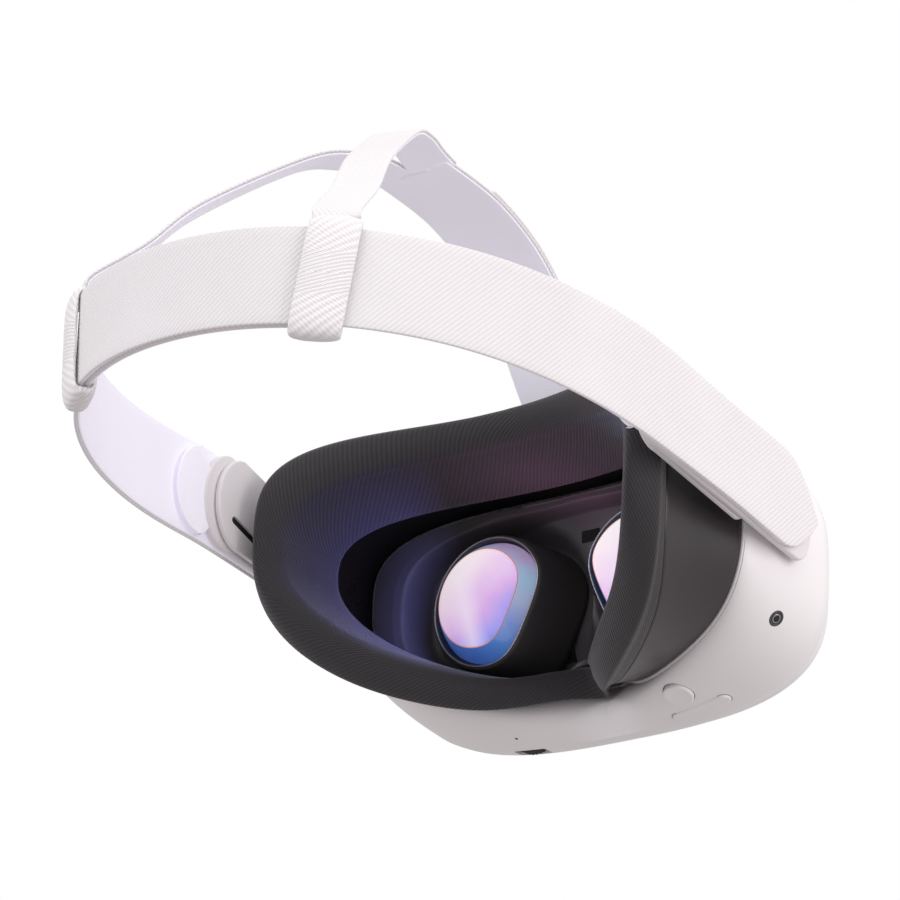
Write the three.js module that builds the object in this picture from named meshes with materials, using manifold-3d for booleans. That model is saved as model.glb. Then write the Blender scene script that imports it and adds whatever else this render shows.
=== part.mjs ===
// Standalone virtual reality headset with a soft head strap. Millimetres, +Z up.
// The lenses look along Y: the front of the visor faces -Y and the wearer's face is on +Y.
// The wearer's left is +X. Heights are built around the lens axis and lifted at the end.
import * as THREE from 'three';
import { mergeVertices } from 'three/addons/utils/BufferGeometryUtils.js';
import Module from 'manifold-3d';

const wasm = await Module();
wasm.setup();

// ---------- driving dimensions ----------
const LENS_SPACING = 63.5;
const LENS_RADIUS = 21.6;
const LENS_NASAL_CUT = 17.6;
const LENS_CUT_ANGLE = THREE.MathUtils.degToRad(206);
const BARREL_WALL = 1.9;
const BARREL_DEPTH = 25;
const BARREL_FLARE = 2.2;
const IPD_TRAVEL_IN = 2.75;
const IPD_TRAVEL_OUT = 3.75;
const SHELL_WALL = 2.4;
const FRAME_WALL = 2.2;
const FIT_GAP = 0.4;
const SEAM_Y = -46;
const FRONT_Y = -64;
const UNDERSIDE = -46;
const RING_STEPS = 64;
const STRAP_HALF_WIDTH = 90.3;
const STRAP_STRAIGHT_END = 92;
const STRAP_REAR = 202;
const STRAP_PITCH = 0.07;
const STRAP_CENTRE_Z = 20;
const STRAP_THICK = 2.0;
const STRAP_HALF_FRONT = 18.3;
const STRAP_HALF_REAR = 15.8;
const STRAP_FRONT_Y = -17;
const LOOP_ANGLE = THREE.MathUtils.degToRad(58);
const LOOP_HALF_LENGTH = 8;
const ARM_OUTER_X = 89.9;
const ARM_THICK = 2.6;
const ARM_FRONT_Y = -14;
const ARM_REAR_Y = 84;
const COVER_FRONT_Y = 16;
const COVER_REAR_Y = 79.6;
const PIVOT_Y = -3;
const PIVOT_Z = 11.5;
const PIVOT_RADIUS = 6;
const TOP_STRAP_WIDTH = 31;
const BRANCH_WIDTH = 26;
const TOP_STRAP_THICK = 1.8;
const ORIGIN_Y = 70.59;

// ---------- colours and finishes ----------
const FINISH = {
  shell: { color: 0xe9e6e6, roughness: 0.45, metalness: 0 },
  dark: { color: 0x3a383b, roughness: 0.5, metalness: 0 },
  knit: { color: 0x2e2c30, roughness: 0.95, metalness: 0 },
  webbing: { color: 0xe8e5e6, roughness: 0.9, metalness: 0 },
  lens: { color: 0xcdbfe6, roughness: 0.05, metalness: 0 },
  glass: { color: 0x101114, roughness: 0.08, metalness: 0 },
  board: { color: 0x1f5a3c, roughness: 0.6, metalness: 0 },
  copper: { color: 0xb87349, roughness: 0.35, metalness: 1 },
  steel: { color: 0xb9bcc0, roughness: 0.35, metalness: 1 },
  cell: { color: 0x9a9da3, roughness: 0.5, metalness: 0 },
};

const root = new THREE.Group();
root.name = 'vr_headset';

function addPart(name, geometry, finish) {
  const material = new THREE.MeshStandardMaterial({ ...FINISH[finish] });
  const mesh = new THREE.Mesh(geometry, material);
  mesh.name = name;
  mesh.geometry.translate(0, -ORIGIN_Y, -UNDERSIDE);
  root.add(mesh);
  return mesh;
}

// ---------- closed bodies from rows of points ----------
function fromRows(rows, closedRows, closedLoop) {
  const positions = [];
  const index = [];
  const count = rows[0].length;
  rows.forEach((row) => row.forEach((p) => positions.push(p.x, p.y, p.z)));
  const last = closedLoop ? rows.length : rows.length - 1;
  const around = closedRows ? count : count - 1;
  for (let r = 0; r < last; r += 1) {
    const next = (r + 1) % rows.length;
    for (let i = 0; i < around; i += 1) {
      const j = (i + 1) % count;
      const a = r * count + i;
      const b = r * count + j;
      const c = next * count + j;
      const d = next * count + i;
      index.push(a, b, c, a, c, d);
    }
  }
  return { positions, index, count };
}

function capRow(data, rowIndex, flip) {
  const start = rowIndex * data.count;
  const centre = new THREE.Vector3();
  for (let i = 0; i < data.count; i += 1) {
    const at = 3 * (start + i);
    centre.x += data.positions[at] / data.count;
    centre.y += data.positions[at + 1] / data.count;
    centre.z += data.positions[at + 2] / data.count;
  }
  const hub = data.positions.length / 3;
  data.positions.push(centre.x, centre.y, centre.z);
  for (let i = 0; i < data.count; i += 1) {
    const j = (i + 1) % data.count;
    if (flip) data.index.push(hub, start + i, start + j);
    else data.index.push(hub, start + j, start + i);
  }
}

function toGeometry(data) {
  const geometry = new THREE.BufferGeometry();
  geometry.setAttribute('position', new THREE.Float32BufferAttribute(data.positions, 3));
  geometry.setIndex(data.index);
  return outward(mergeVertices(geometry, 1e-4));
}

function signedVolume(geometry) {
  const p = geometry.attributes.position;
  const idx = geometry.index.array;
  const a = new THREE.Vector3();
  const b = new THREE.Vector3();
  const c = new THREE.Vector3();
  let total = 0;
  for (let i = 0; i < idx.length; i += 3) {
    a.fromBufferAttribute(p, idx[i]);
    b.fromBufferAttribute(p, idx[i + 1]);
    c.fromBufferAttribute(p, idx[i + 2]);
    total += a.dot(b.cross(c));
  }
  return total / 6;
}

function outward(geometry) {
  if (signedVolume(geometry) < 0) {
    const idx = geometry.index.array;
    for (let i = 0; i < idx.length; i += 3) {
      const keep = idx[i + 1];
      idx[i + 1] = idx[i + 2];
      idx[i + 2] = keep;
    }
  }
  geometry.computeVertexNormals();
  return geometry;
}

function ringBody(rows) {
  return toGeometry(fromRows(rows, true, true));
}

function capsuleBody(rows) {
  const data = fromRows(rows, true, false);
  capRow(data, 0, false);
  capRow(data, rows.length - 1, true);
  return toGeometry(data);
}

// ---------- booleans ----------
function toSolid(geometry) {
  const bare = new THREE.BufferGeometry();
  bare.setAttribute('position', geometry.attributes.position.clone());
  if (geometry.index) bare.setIndex(geometry.index.clone());
  const merged = mergeVertices(bare, 1e-4);
  return new wasm.Manifold(new wasm.Mesh({
    numProp: 3,
    vertProperties: new Float32Array(merged.attributes.position.array),
    triVerts: new Uint32Array(merged.index.array),
  }));
}

function fromSolid(solid) {
  const mesh = solid.getMesh();
  const geometry = new THREE.BufferGeometry();
  const step = mesh.numProp;
  const count = mesh.vertProperties.length / step;
  const flat = new Float32Array(count * 3);
  for (let i = 0; i < count; i += 1) {
    for (let k = 0; k < 3; k += 1) flat[3 * i + k] = mesh.vertProperties[step * i + k];
  }
  geometry.setAttribute('position', new THREE.BufferAttribute(flat, 3));
  geometry.setIndex([...mesh.triVerts]);
  geometry.computeVertexNormals();
  return geometry;
}

function cutFrom(geometry, cutters) {
  let solid = toSolid(geometry);
  cutters.forEach((cutter) => {
    solid = solid.subtract(toSolid(cutter));
  });
  return fromSolid(solid);
}

function keepInside(geometry, limiter) {
  return fromSolid(toSolid(geometry).intersect(toSolid(limiter)));
}

// ---------- goggle shaped outlines ----------
function signedPower(value, power) {
  return Math.sign(value) * Math.abs(value) ** power;
}

function blendRing(a, b, t) {
  const out = {};
  Object.keys(a).forEach((key) => {
    out[key] = a[key] + (b[key] - a[key]) * t;
  });
  return out;
}

function inset(ring, amount, depth) {
  return {
    ...ring,
    halfWidth: ring.halfWidth - amount,
    top: ring.top - amount,
    bottom: ring.bottom - amount,
    rear: ring.rear + depth,
  };
}

function goggleRow(ring) {
  const row = [];
  for (let i = 0; i < RING_STEPS; i += 1) {
    const t = (2 * Math.PI * i) / RING_STEPS;
    const side = Math.cos(t);
    const rise = Math.sin(t);
    const square = rise >= 0 ? ring.squareTop : ring.squareBottom;
    const x = ring.halfWidth * signedPower(side, 2 / square);
    const reach = rise >= 0 ? ring.top : ring.bottom;
    const low = THREE.MathUtils.smoothstep(-rise, 0.1, 0.75);
    const offset = Math.sqrt(x * x + 9) - 3;
    const nose = low * Math.exp(-((x / ring.noseWidth) ** 2));
    const z = ring.middle + reach * signedPower(rise, 2 / square) + ring.noseRise * nose;
    const wrap = ring.wrap * Math.abs(x / ring.halfWidth) ** 2.2;
    const y = ring.rear + wrap - ring.noseForward * low * Math.exp(-offset / ring.noseReach);
    row.push(new THREE.Vector3(x, y, z));
  }
  return row;
}

// Rear rim of the white body, seam between frame and cushion, and the cushion's section rings.
const RIM = {
  halfWidth: 82, middle: 3, top: 38, bottom: 39.5, squareTop: 3.2, squareBottom: 2.65,
  rear: -2, wrap: 15, noseForward: 31, noseReach: 24, noseRise: 10.5, noseWidth: 16,
};
const FLANK = {
  halfWidth: 86, middle: -1, top: 46.5, bottom: 45, squareTop: 3.0, squareBottom: 3.0,
  rear: -28, wrap: 0, noseForward: 0, noseReach: 24, noseRise: 0, noseWidth: 16,
};
const BELLY = { ...FLANK, halfWidth: 84, top: 46, rear: -33 };
const SHOULDER = { ...FLANK, halfWidth: 79, top: 44, bottom: 42.5, rear: -40 };
const FRONT_SEAM = { ...FLANK, halfWidth: 73, top: 41, bottom: 39, rear: SEAM_Y };
const SEAM = {
  halfWidth: 78.8, middle: 4, top: 42, bottom: 44.5, squareTop: 3.2, squareBottom: 2.65,
  rear: 17.5, wrap: 34, noseForward: 44, noseReach: 27, noseRise: 14, noseWidth: 14,
};
const OUTER_PAD = {
  halfWidth: 83, middle: 7, top: 47.5, bottom: 52.5, squareTop: 3.8, squareBottom: 2.5,
  rear: 26, wrap: 35, noseForward: 53, noseReach: 22, noseRise: 16, noseWidth: 11,
};
const CREST = {
  halfWidth: 77, middle: 8.5, top: 41.5, bottom: 45.5, squareTop: 3.5, squareBottom: 2.3,
  rear: 36, wrap: 33, noseForward: 56, noseReach: 25, noseRise: 13, noseWidth: 11,
};
const INNER_CREST = {
  halfWidth: 70.5, middle: 6.5, top: 34.5, bottom: 39.5, squareTop: 2.8, squareBottom: 2.1,
  rear: 33, wrap: 30, noseForward: 50, noseReach: 24, noseRise: 9, noseWidth: 11,
};
const INNER_DEEP = {
  halfWidth: 68.5, middle: 5, top: 29.5, bottom: 35, squareTop: 2.6, squareBottom: 2.15,
  rear: 4, wrap: 33, noseForward: 27, noseReach: 24, noseRise: 8, noseWidth: 12,
};

// The wall's inner rings are inset, and set further forward at the nose, where the wall is upright.
function shellRows(stations, wall, noseLead = 1) {
  const outer = stations.map((ring) => goggleRow(ring));
  const inner = stations.map((ring) => {
    const within = inset(ring, wall, 0);
    within.noseForward *= noseLead;
    return goggleRow(within);
  }).reverse();
  return [...outer, ...inner];
}

function box(width, depth, height, x, y, z) {
  const geometry = new THREE.BoxGeometry(width, depth, height);
  geometry.translate(x, y, z);
  return geometry;
}

function rod(radius, length, axis, x, y, z, steps = 32) {
  const geometry = new THREE.CylinderGeometry(radius, radius, length, steps);
  if (axis === 'x') geometry.rotateZ(Math.PI / 2);
  if (axis === 'z') geometry.rotateX(Math.PI / 2);
  geometry.translate(x, y, z);
  return geometry;
}

function obround(length, width, depth, corner = width / 2) {
  const shape = new THREE.Shape();
  const a = length / 2 - corner;
  const b = width / 2 - corner;
  shape.absarc(a, b, corner, 0, Math.PI / 2, false);
  shape.absarc(-a, b, corner, Math.PI / 2, Math.PI, false);
  shape.absarc(-a, -b, corner, Math.PI, 1.5 * Math.PI, false);
  shape.absarc(a, -b, corner, 1.5 * Math.PI, 2 * Math.PI, false);
  const geometry = new THREE.ExtrudeGeometry(shape, {
    depth, bevelEnabled: false, curveSegments: 8,
  });
  geometry.translate(0, 0, -depth / 2);
  return geometry;
}

// ---------- visor shells ----------
const SIDE = { left: 1, right: -1 };
const UNDER_BUTTON = { x: -38, y: -12.5, radius: 5.2 };
const ROCKER = { x: -40, y: -24, length: 24, width: 5.2, yaw: 0.12 };
const JACK = { y: -9, z: -24, radius: 3.1 };
const POWER = { y: -28, z: -6, length: 13, width: 4.6 };
const PORT = { y: -18, z: -22, length: 9.4, width: 3.4 };
const WHEEL = { x: 34, y: -30, radius: 9, width: 4 };
const WHEEL_Z = UNDERSIDE + 0.5 + WHEEL.radius;

const bodyStations = [];
const BODY_ROWS = 5;
bodyStations.push(FRONT_SEAM);
bodyStations.push(SHOULDER);
bodyStations.push(BELLY);
for (let i = 0; i <= BODY_ROWS; i += 1) {
  const t = i / BODY_ROWS;
  const mixed = blendRing(FLANK, RIM, t);
  const bulge = Math.sin((Math.PI * t) / 2);
  mixed.halfWidth = FLANK.halfWidth + (RIM.halfWidth - FLANK.halfWidth) * t ** 2.2;
  mixed.top = FLANK.top + (RIM.top - FLANK.top) * t ** 2.0;
  mixed.bottom = FLANK.bottom + (RIM.bottom - FLANK.bottom) * t ** 1.9;
  mixed.rear = FLANK.rear + (RIM.rear - FLANK.rear) * bulge ** 1.05;
  bodyStations.push(mixed);
}
const wallX = 84.5;
const cutters = [
  rod(UNDER_BUTTON.radius + FIT_GAP, 12, 'z', UNDER_BUTTON.x, UNDER_BUTTON.y, UNDERSIDE + 6),
  rod(JACK.radius + FIT_GAP, 22, 'x', -wallX + 3, JACK.y, JACK.z),
  box(16, WHEEL.width + 1.2, 9, WHEEL.x, WHEEL.y, UNDERSIDE + 3),
];
const rockerHole = obround(ROCKER.length + 2 * FIT_GAP, ROCKER.width + 2 * FIT_GAP, 14);
rockerHole.rotateZ(ROCKER.yaw);
rockerHole.translate(ROCKER.x, ROCKER.y, UNDERSIDE + 3);
cutters.push(rockerHole);
const powerHole = obround(POWER.length + 2 * FIT_GAP, POWER.width + 2 * FIT_GAP, 12);
powerHole.rotateX(Math.PI / 2);
powerHole.rotateZ(Math.PI / 2);
powerHole.translate(wallX, POWER.y, POWER.z);
cutters.push(powerHole);
const portHole = obround(PORT.length + 2 * FIT_GAP, PORT.width + 2 * FIT_GAP, 20);
portHole.rotateX(Math.PI / 2);
portHole.rotateZ(Math.PI / 2);
portHole.translate(wallX, PORT.y, PORT.z);
cutters.push(portHole);
Object.values(SIDE).forEach((s) => {
  cutters.push(rod(PIVOT_RADIUS + FIT_GAP, 14, 'x', s * wallX, PIVOT_Y, PIVOT_Z));
});
addPart('rear_body', cutFrom(ringBody(shellRows(bodyStations, SHELL_WALL, 1.16)), cutters), 'shell');

// Front shell: a shallow cup closed on the front face.
const CUP = { radius: 10, corner: [0, 25, 50, 72], face: [0.7, 0.4, 0.06] };
function cupSide(edge, frontY, depth) {
  const radius = CUP.radius - depth;
  const rings = CUP.corner.map((degrees) => {
    const angle = THREE.MathUtils.degToRad(degrees);
    return inset(edge, depth + radius * (1 - Math.cos(angle)), -radius * Math.sin(angle));
  });
  const last = rings[rings.length - 1];
  CUP.face.forEach((scale) => {
    const ring = { ...last, rear: last.rear + (frontY + depth - last.rear) * (1 - scale ** 2) };
    ['halfWidth', 'top', 'bottom'].forEach((key) => {
      ring[key] *= scale;
    });
    rings.push(ring);
  });
  return rings.map((ring) => goggleRow(ring));
}

function cupRows(edge, frontY, wall) {
  return [...cupSide(edge, frontY, 0).reverse(), ...cupSide(edge, frontY, wall)];
}

const WINDOWS = [
  { name: 'camera_window_left', x: 52, length: 27 },
  { name: 'camera_window_middle', x: 0, length: 21 },
  { name: 'camera_window_right', x: -52, length: 27 },
];
const windowWidth = 12;
const frontEdge = { ...FRONT_SEAM, rear: SEAM_Y - FIT_GAP };
const windowCuts = WINDOWS.map((w) => {
  const pill = obround(w.length + 2 * FIT_GAP, windowWidth + 2 * FIT_GAP, 24);
  pill.rotateZ(Math.PI / 2);
  pill.rotateX(Math.PI / 2);
  pill.translate(w.x, FRONT_Y, 2);
  return pill;
});
const cup = capsuleBody(cupRows(frontEdge, FRONT_Y, SHELL_WALL));
addPart('front_shell', cutFrom(cup, windowCuts), 'shell');
WINDOWS.forEach((w) => {
  const pill = obround(w.length, windowWidth, 30);
  pill.rotateZ(Math.PI / 2);
  pill.rotateX(Math.PI / 2);
  pill.translate(w.x, FRONT_Y, 2);
  addPart(w.name, keepInside(cup, pill), 'glass');
});

// ---------- facial interface ----------
const frameStart = inset(RIM, SHELL_WALL + FIT_GAP, -6);
const frameLip = inset(RIM, FIT_GAP, FIT_GAP + 0.2);
const frameStations = [frameStart, inset(RIM, SHELL_WALL + FIT_GAP, FIT_GAP + 0.1)];
const FRAME_ROWS = 4;
for (let i = 0; i <= FRAME_ROWS; i += 1) {
  const t = i / FRAME_ROWS;
  const mixed = blendRing(frameLip, SEAM, t);
  mixed.halfWidth -= 1.2 * Math.sin(Math.PI * t);
  frameStations.push(mixed);
}
const frameRows = shellRows(frameStations, FRAME_WALL);
addPart('interface_frame', ringBody(frameRows), 'dark');

const padBack = inset(SEAM, 0.2, FIT_GAP);
const padRing = (a, b, t, extra) => {
  const mixed = blendRing(a, b, t);
  mixed.rear += extra;
  return mixed;
};
const padStations = [
  padBack,
  padRing(SEAM, OUTER_PAD, 0.55, 0.4),
  OUTER_PAD,
  padRing(OUTER_PAD, CREST, 0.5, 1.3),
  CREST,
  padRing(CREST, INNER_CREST, 0.5, 0.9),
  INNER_CREST,
  padRing(INNER_CREST, INNER_DEEP, 0.18, -1.2),
  padRing(INNER_CREST, INNER_DEEP, 0.5, -0.6),
  INNER_DEEP,
  { ...inset(INNER_DEEP, -2, 0.2) },
  padRing(INNER_DEEP, inset(SEAM, FRAME_WALL + 1.6, 0), 0.85, 0),
  inset(SEAM, FRAME_WALL + 1.4, FIT_GAP + 0.3),
];
addPart('face_cushion', ringBody(padStations.map((ring) => goggleRow(ring))), 'knit');

// ---------- optics ----------
function lensOutline(radius, cut, s) {
  const row = [];
  const steps = 32;
  for (let i = 0; i < steps; i += 1) {
    const t = (2 * Math.PI * i) / steps;
    const facing = Math.max(0, Math.cos(t - LENS_CUT_ANGLE));
    const power = 9;
    const r = (radius ** -power + (facing / cut) ** power) ** (-1 / power);
    row.push(new THREE.Vector2(s * r * Math.cos(t), r * Math.sin(t)));
  }
  return row;
}

function lensRow(radius, cut, s, y, shift = 0) {
  const centre = (s * LENS_SPACING) / 2 + shift;
  return lensOutline(radius, cut, s).map((p) => new THREE.Vector3(centre + p.x, y, p.y));
}

// Moulded inner face: a shallow tray, given as [scale of the outline, share of the outer edge].
const TRAY = [[0.08, 0], [0.55, 0], [0.86, 0.25], [0.97, 0.7], [1, 1]];
const TRAY_THICK = 2;
function bezelRows() {
  const edge = { ...inset(RIM, SHELL_WALL + FRAME_WALL + 1.6, -9), noseForward: 20 };
  const floor = { ...edge, rear: -17, wrap: 3, noseForward: 8 };
  const rings = TRAY.map(([scale, share]) => {
    const ring = blendRing(floor, edge, share);
    ['halfWidth', 'top', 'bottom', 'noseRise'].forEach((key) => {
      ring[key] *= scale;
    });
    return ring;
  });
  const back = rings.map((ring) => ({ ...ring, rear: ring.rear - TRAY_THICK })).reverse();
  return [...rings, ...back].map((ring) => goggleRow(ring));
}

const bezelHoles = Object.values(SIDE).map((s) => {
  const out = BARREL_FLARE + BARREL_WALL + 1.2;
  const near = lensRow(LENS_RADIUS + out, LENS_NASAL_CUT + out, s, 20, -s * IPD_TRAVEL_IN);
  const centre = (s * LENS_SPACING) / 2;
  const stretch = near.map((p) => {
    const wider = Math.sign(p.x - centre) === s ? IPD_TRAVEL_OUT + IPD_TRAVEL_IN : 0;
    return new THREE.Vector3(p.x + s * wider, p.y, p.z);
  });
  const far = stretch.map((p) => new THREE.Vector3(p.x, -45, p.z));
  return capsuleBody([stretch, far]);
});
addPart('inner_bezel', cutFrom(capsuleBody(bezelRows()), bezelHoles), 'dark');

Object.entries(SIDE).forEach(([name, s]) => {
  const wall = BARREL_WALL;
  const barrel = ringBody([
    lensRow(LENS_RADIUS + wall, LENS_NASAL_CUT + wall, s, 0.4),
    lensRow(LENS_RADIUS + wall + 0.3, LENS_NASAL_CUT + wall + 0.3, s, -0.8),
    lensRow(LENS_RADIUS + wall + BARREL_FLARE, LENS_NASAL_CUT + wall + BARREL_FLARE, s,
      -BARREL_DEPTH),
    lensRow(LENS_RADIUS - 1, LENS_NASAL_CUT - 1, s, -BARREL_DEPTH),
    lensRow(LENS_RADIUS - 1, LENS_NASAL_CUT - 1, s, -7),
    lensRow(LENS_RADIUS + 0.4, LENS_NASAL_CUT + 0.4, s, -6.4),
    lensRow(LENS_RADIUS + 0.4, LENS_NASAL_CUT + 0.4, s, 0.2),
  ]);
  addPart(`lens_barrel_${name}`, barrel, 'dark');
  const dome = [];
  const domeRows = 4;
  for (let i = 0; i <= domeRows; i += 1) {
    const k = Math.cos((i / domeRows) * 1.45);
    const bow = 2.1 * (1 - k * k);
    dome.push(lensRow(LENS_RADIUS * k, LENS_NASAL_CUT * k, s, -0.9 + bow));
  }
  const lensBack = [lensRow(LENS_RADIUS * 0.06, LENS_NASAL_CUT * 0.06, s, -5.8),
    lensRow(LENS_RADIUS, LENS_NASAL_CUT, s, -5.8)];
  addPart(`lens_${name}`, capsuleBody([...lensBack, ...dome]), 'lens');
  const centre = (s * LENS_SPACING) / 2;
  addPart(`display_${name}`, box(33, 3.2, 33, centre, -BARREL_DEPTH - 2.2, 0), 'glass');
  const rackZ = s * 7.2;
  const rackX = s * 14;
  addPart(`rack_${name}`, box(30, 2.4, 3, rackX, -BARREL_DEPTH - 7, rackZ), 'steel');
});

const teeth = 14;
const gearShape = new THREE.Shape();
for (let i = 0; i < teeth * 2; i += 1) {
  const radius = i % 2 === 0 ? 5.3 : 4.2;
  const angle = (Math.PI * i) / teeth;
  const px = radius * Math.cos(angle);
  const py = radius * Math.sin(angle);
  if (i === 0) gearShape.moveTo(px, py);
  else gearShape.lineTo(px, py);
}
const pinion = new THREE.ExtrudeGeometry(gearShape, { depth: 2.6, bevelEnabled: false });
pinion.rotateX(Math.PI / 2);
pinion.translate(0, -BARREL_DEPTH - 5.7, 0);
addPart('ipd_pinion', pinion, 'steel');
const knurls = 36;
const wheelShape = new THREE.Shape();
for (let i = 0; i < knurls * 2; i += 1) {
  const radius = i % 2 === 0 ? WHEEL.radius : WHEEL.radius - 0.5;
  const angle = (Math.PI * i) / knurls;
  const px = radius * Math.cos(angle);
  const py = radius * Math.sin(angle);
  if (i === 0) wheelShape.moveTo(px, py);
  else wheelShape.lineTo(px, py);
}
const wheel = new THREE.ExtrudeGeometry(wheelShape, { depth: WHEEL.width, bevelEnabled: false });
wheel.rotateX(Math.PI / 2);
wheel.translate(WHEEL.x, WHEEL.y + WHEEL.width / 2, WHEEL_Z);
addPart('ipd_wheel', wheel, 'dark');
addPart('guide_rail', rod(1.5, 126, 'x', 0, -BARREL_DEPTH - 7, 27, 20), 'steel');

// ---------- electronics ----------
const boardY = -41;
addPart('main_board', box(122, 1.6, 44, 0, boardY, 5), 'board');
addPart('heat_sink', box(34, 4, 20, 0, boardY - 3.4, -4), 'copper');
addPart('battery', box(40, 9, 36, 40, boardY - 6.4, -2), 'cell');
addPart('proximity_sensor', box(7, 2, 4, 0, -15.2, 22), 'glass');
const fanY = -51;
const fanZ = 10;
const fanHousing = cutFrom(box(38, 8, 34, 0, fanY, fanZ), [rod(15.4, 20, 'y', 0, fanY, fanZ)]);
addPart('fan_housing', fanHousing, 'dark');
const blades = 7;
let fanSolid = toSolid(rod(5, 5, 'y', 0, fanY, fanZ, 28));
for (let i = 0; i < blades; i += 1) {
  const blade = box(12, 4, 1.1, 8.4, 0, 0);
  blade.rotateX(0.5);
  blade.rotateY((2 * Math.PI * i) / blades);
  blade.translate(0, fanY, fanZ);
  fanSolid = fanSolid.add(toSolid(blade));
}
addPart('fan_rotor', fromSolid(fanSolid), 'dark');

// ---------- controls and ports ----------
const underButton = rod(UNDER_BUTTON.radius, 4.6, 'z', UNDER_BUTTON.x, UNDER_BUTTON.y,
  UNDERSIDE + 6.6, 36);
addPart('under_button', underButton, 'shell');
const rocker = obround(ROCKER.length, ROCKER.width, 3.6);
rocker.rotateZ(ROCKER.yaw);
rocker.translate(ROCKER.x, ROCKER.y, UNDERSIDE + 3.2);
addPart('volume_rocker', rocker, 'shell');
const power = obround(POWER.length, POWER.width, 3.4);
power.rotateX(Math.PI / 2);
power.rotateZ(Math.PI / 2);
power.translate(85.2, POWER.y, POWER.z);
addPart('power_button', power, 'shell');
const jackRing = cutFrom(rod(JACK.radius, 9, 'x', -76.8, JACK.y, JACK.z),
  [rod(1.8, 7, 'x', -79, JACK.y, JACK.z, 24)]);
addPart('audio_jack', jackRing, 'dark');
const portBody = obround(PORT.length, PORT.width, 8);
const portMouth = obround(PORT.length - 1.2, PORT.width - 1.2, 6);
[portBody, portMouth].forEach((g) => {
  g.rotateX(Math.PI / 2);
  g.rotateZ(Math.PI / 2);
});
portBody.translate(79, PORT.y, PORT.z);
portMouth.translate(81.2, PORT.y, PORT.z);
addPart('charge_port', cutFrom(portBody, [portMouth]), 'steel');

// ---------- head strap path ----------
// Position on the strap's centre line: negative values run along the straight sides.
function strapPoint(angle, s, out) {
  const x = STRAP_HALF_WIDTH * signedPower(Math.cos(angle), 0.96);
  const span = STRAP_REAR - STRAP_STRAIGHT_END;
  const y = STRAP_STRAIGHT_END + span * signedPower(Math.sin(angle), 0.96);
  const nx = Math.cos(angle) / STRAP_HALF_WIDTH;
  const ny = Math.sin(angle) / span;
  const length = Math.hypot(nx, ny);
  return {
    p: new THREE.Vector3(s * (x + (out * nx) / length), y + (out * ny) / length, 0),
    n: new THREE.Vector3((s * nx) / length, ny / length, 0),
  };
}

function strapHalf(y) {
  const t = THREE.MathUtils.clamp(y / STRAP_REAR, 0, 1);
  return STRAP_HALF_FRONT + (STRAP_HALF_REAR - STRAP_HALF_FRONT) * t;
}

// Height of the strap's centre line: the straps and arms dip towards their pivots.
function strapLift(y) {
  const ahead = Math.max(0, 86 - y);
  return STRAP_CENTRE_Z + STRAP_PITCH * y - (0.13 * ahead ** 2) / (ahead + 18);
}

// A flat band: at each station a rounded rectangle of the given half height and thickness.
function bandSection(centre, normal, up, half, thick) {
  const round = thick * 0.35;
  const corners = [
    [half - round, thick / 2], [half, thick / 2 - round], [half, -thick / 2 + round],
    [half - round, -thick / 2], [-half + round, -thick / 2], [-half, -thick / 2 + round],
    [-half, thick / 2 - round], [-half + round, thick / 2],
  ];
  return corners.map(([a, b]) => centre.clone()
    .addScaledVector(up, a).addScaledVector(normal, b));
}

const UP = new THREE.Vector3(0, 0, 1);

function bandStation(sample, thick, shape) {
  const centre = sample.p.clone();
  centre.z = strapLift(sample.p.y) + shape.shift;
  return bandSection(centre, sample.n, UP, shape.half, thick);
}

// The strap's front end narrows to a blunt point that sits low on the arm.
const TIP = { start: 6, length: 20.4, top: 16.5, bottom: 16.2 };
function frontShape(y) {
  const half = strapHalf(y) - 1.6 * THREE.MathUtils.smoothstep(86 - y, 0, 60);
  const u = Math.max(0, TIP.start - y) / TIP.length;
  const lower = TIP.top * u ** 2.2;
  const raise = TIP.bottom * u ** 2;
  return { half: half - (lower + raise) / 2, shift: (raise - lower) / 2 };
}

const layer = STRAP_THICK / 2 + 0.2;
const loopReach = THREE.MathUtils.degToRad(3);
const farEnd = Math.PI - LOOP_ANGLE - loopReach;
function layeredStrap(s, target) {
  const rows = [];
  const base = STRAP_THICK / 2;
  const stations = [-14, -12.5, -9, -4, 1, 6, 20, 40, 60, 80];
  stations.forEach((y) => {
    const p = new THREE.Vector3(s * (STRAP_HALF_WIDTH + base), y, 0);
    rows.push(bandStation({ p, n: new THREE.Vector3(s, 0, 0) }, STRAP_THICK, frontShape(y)));
  });
  const arcSteps = 30;
  for (let i = 0; i <= arcSteps; i += 1) {
    const angle = (farEnd * i) / arcSteps;
    const ease = THREE.MathUtils.smoothstep(angle, LOOP_ANGLE - 0.9, LOOP_ANGLE - 0.25);
    const sample = strapPoint(angle, s, base + (target - base) * ease);
    rows.push(bandStation(sample, STRAP_THICK, { half: strapHalf(sample.p.y), shift: 0 }));
  }
  return capsuleBody(rows);
}
addPart('strap_right', layeredStrap(SIDE.right, STRAP_THICK / 2 + layer), 'webbing');
addPart('strap_left', layeredStrap(SIDE.left, STRAP_THICK / 2 - layer), 'webbing');

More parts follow.
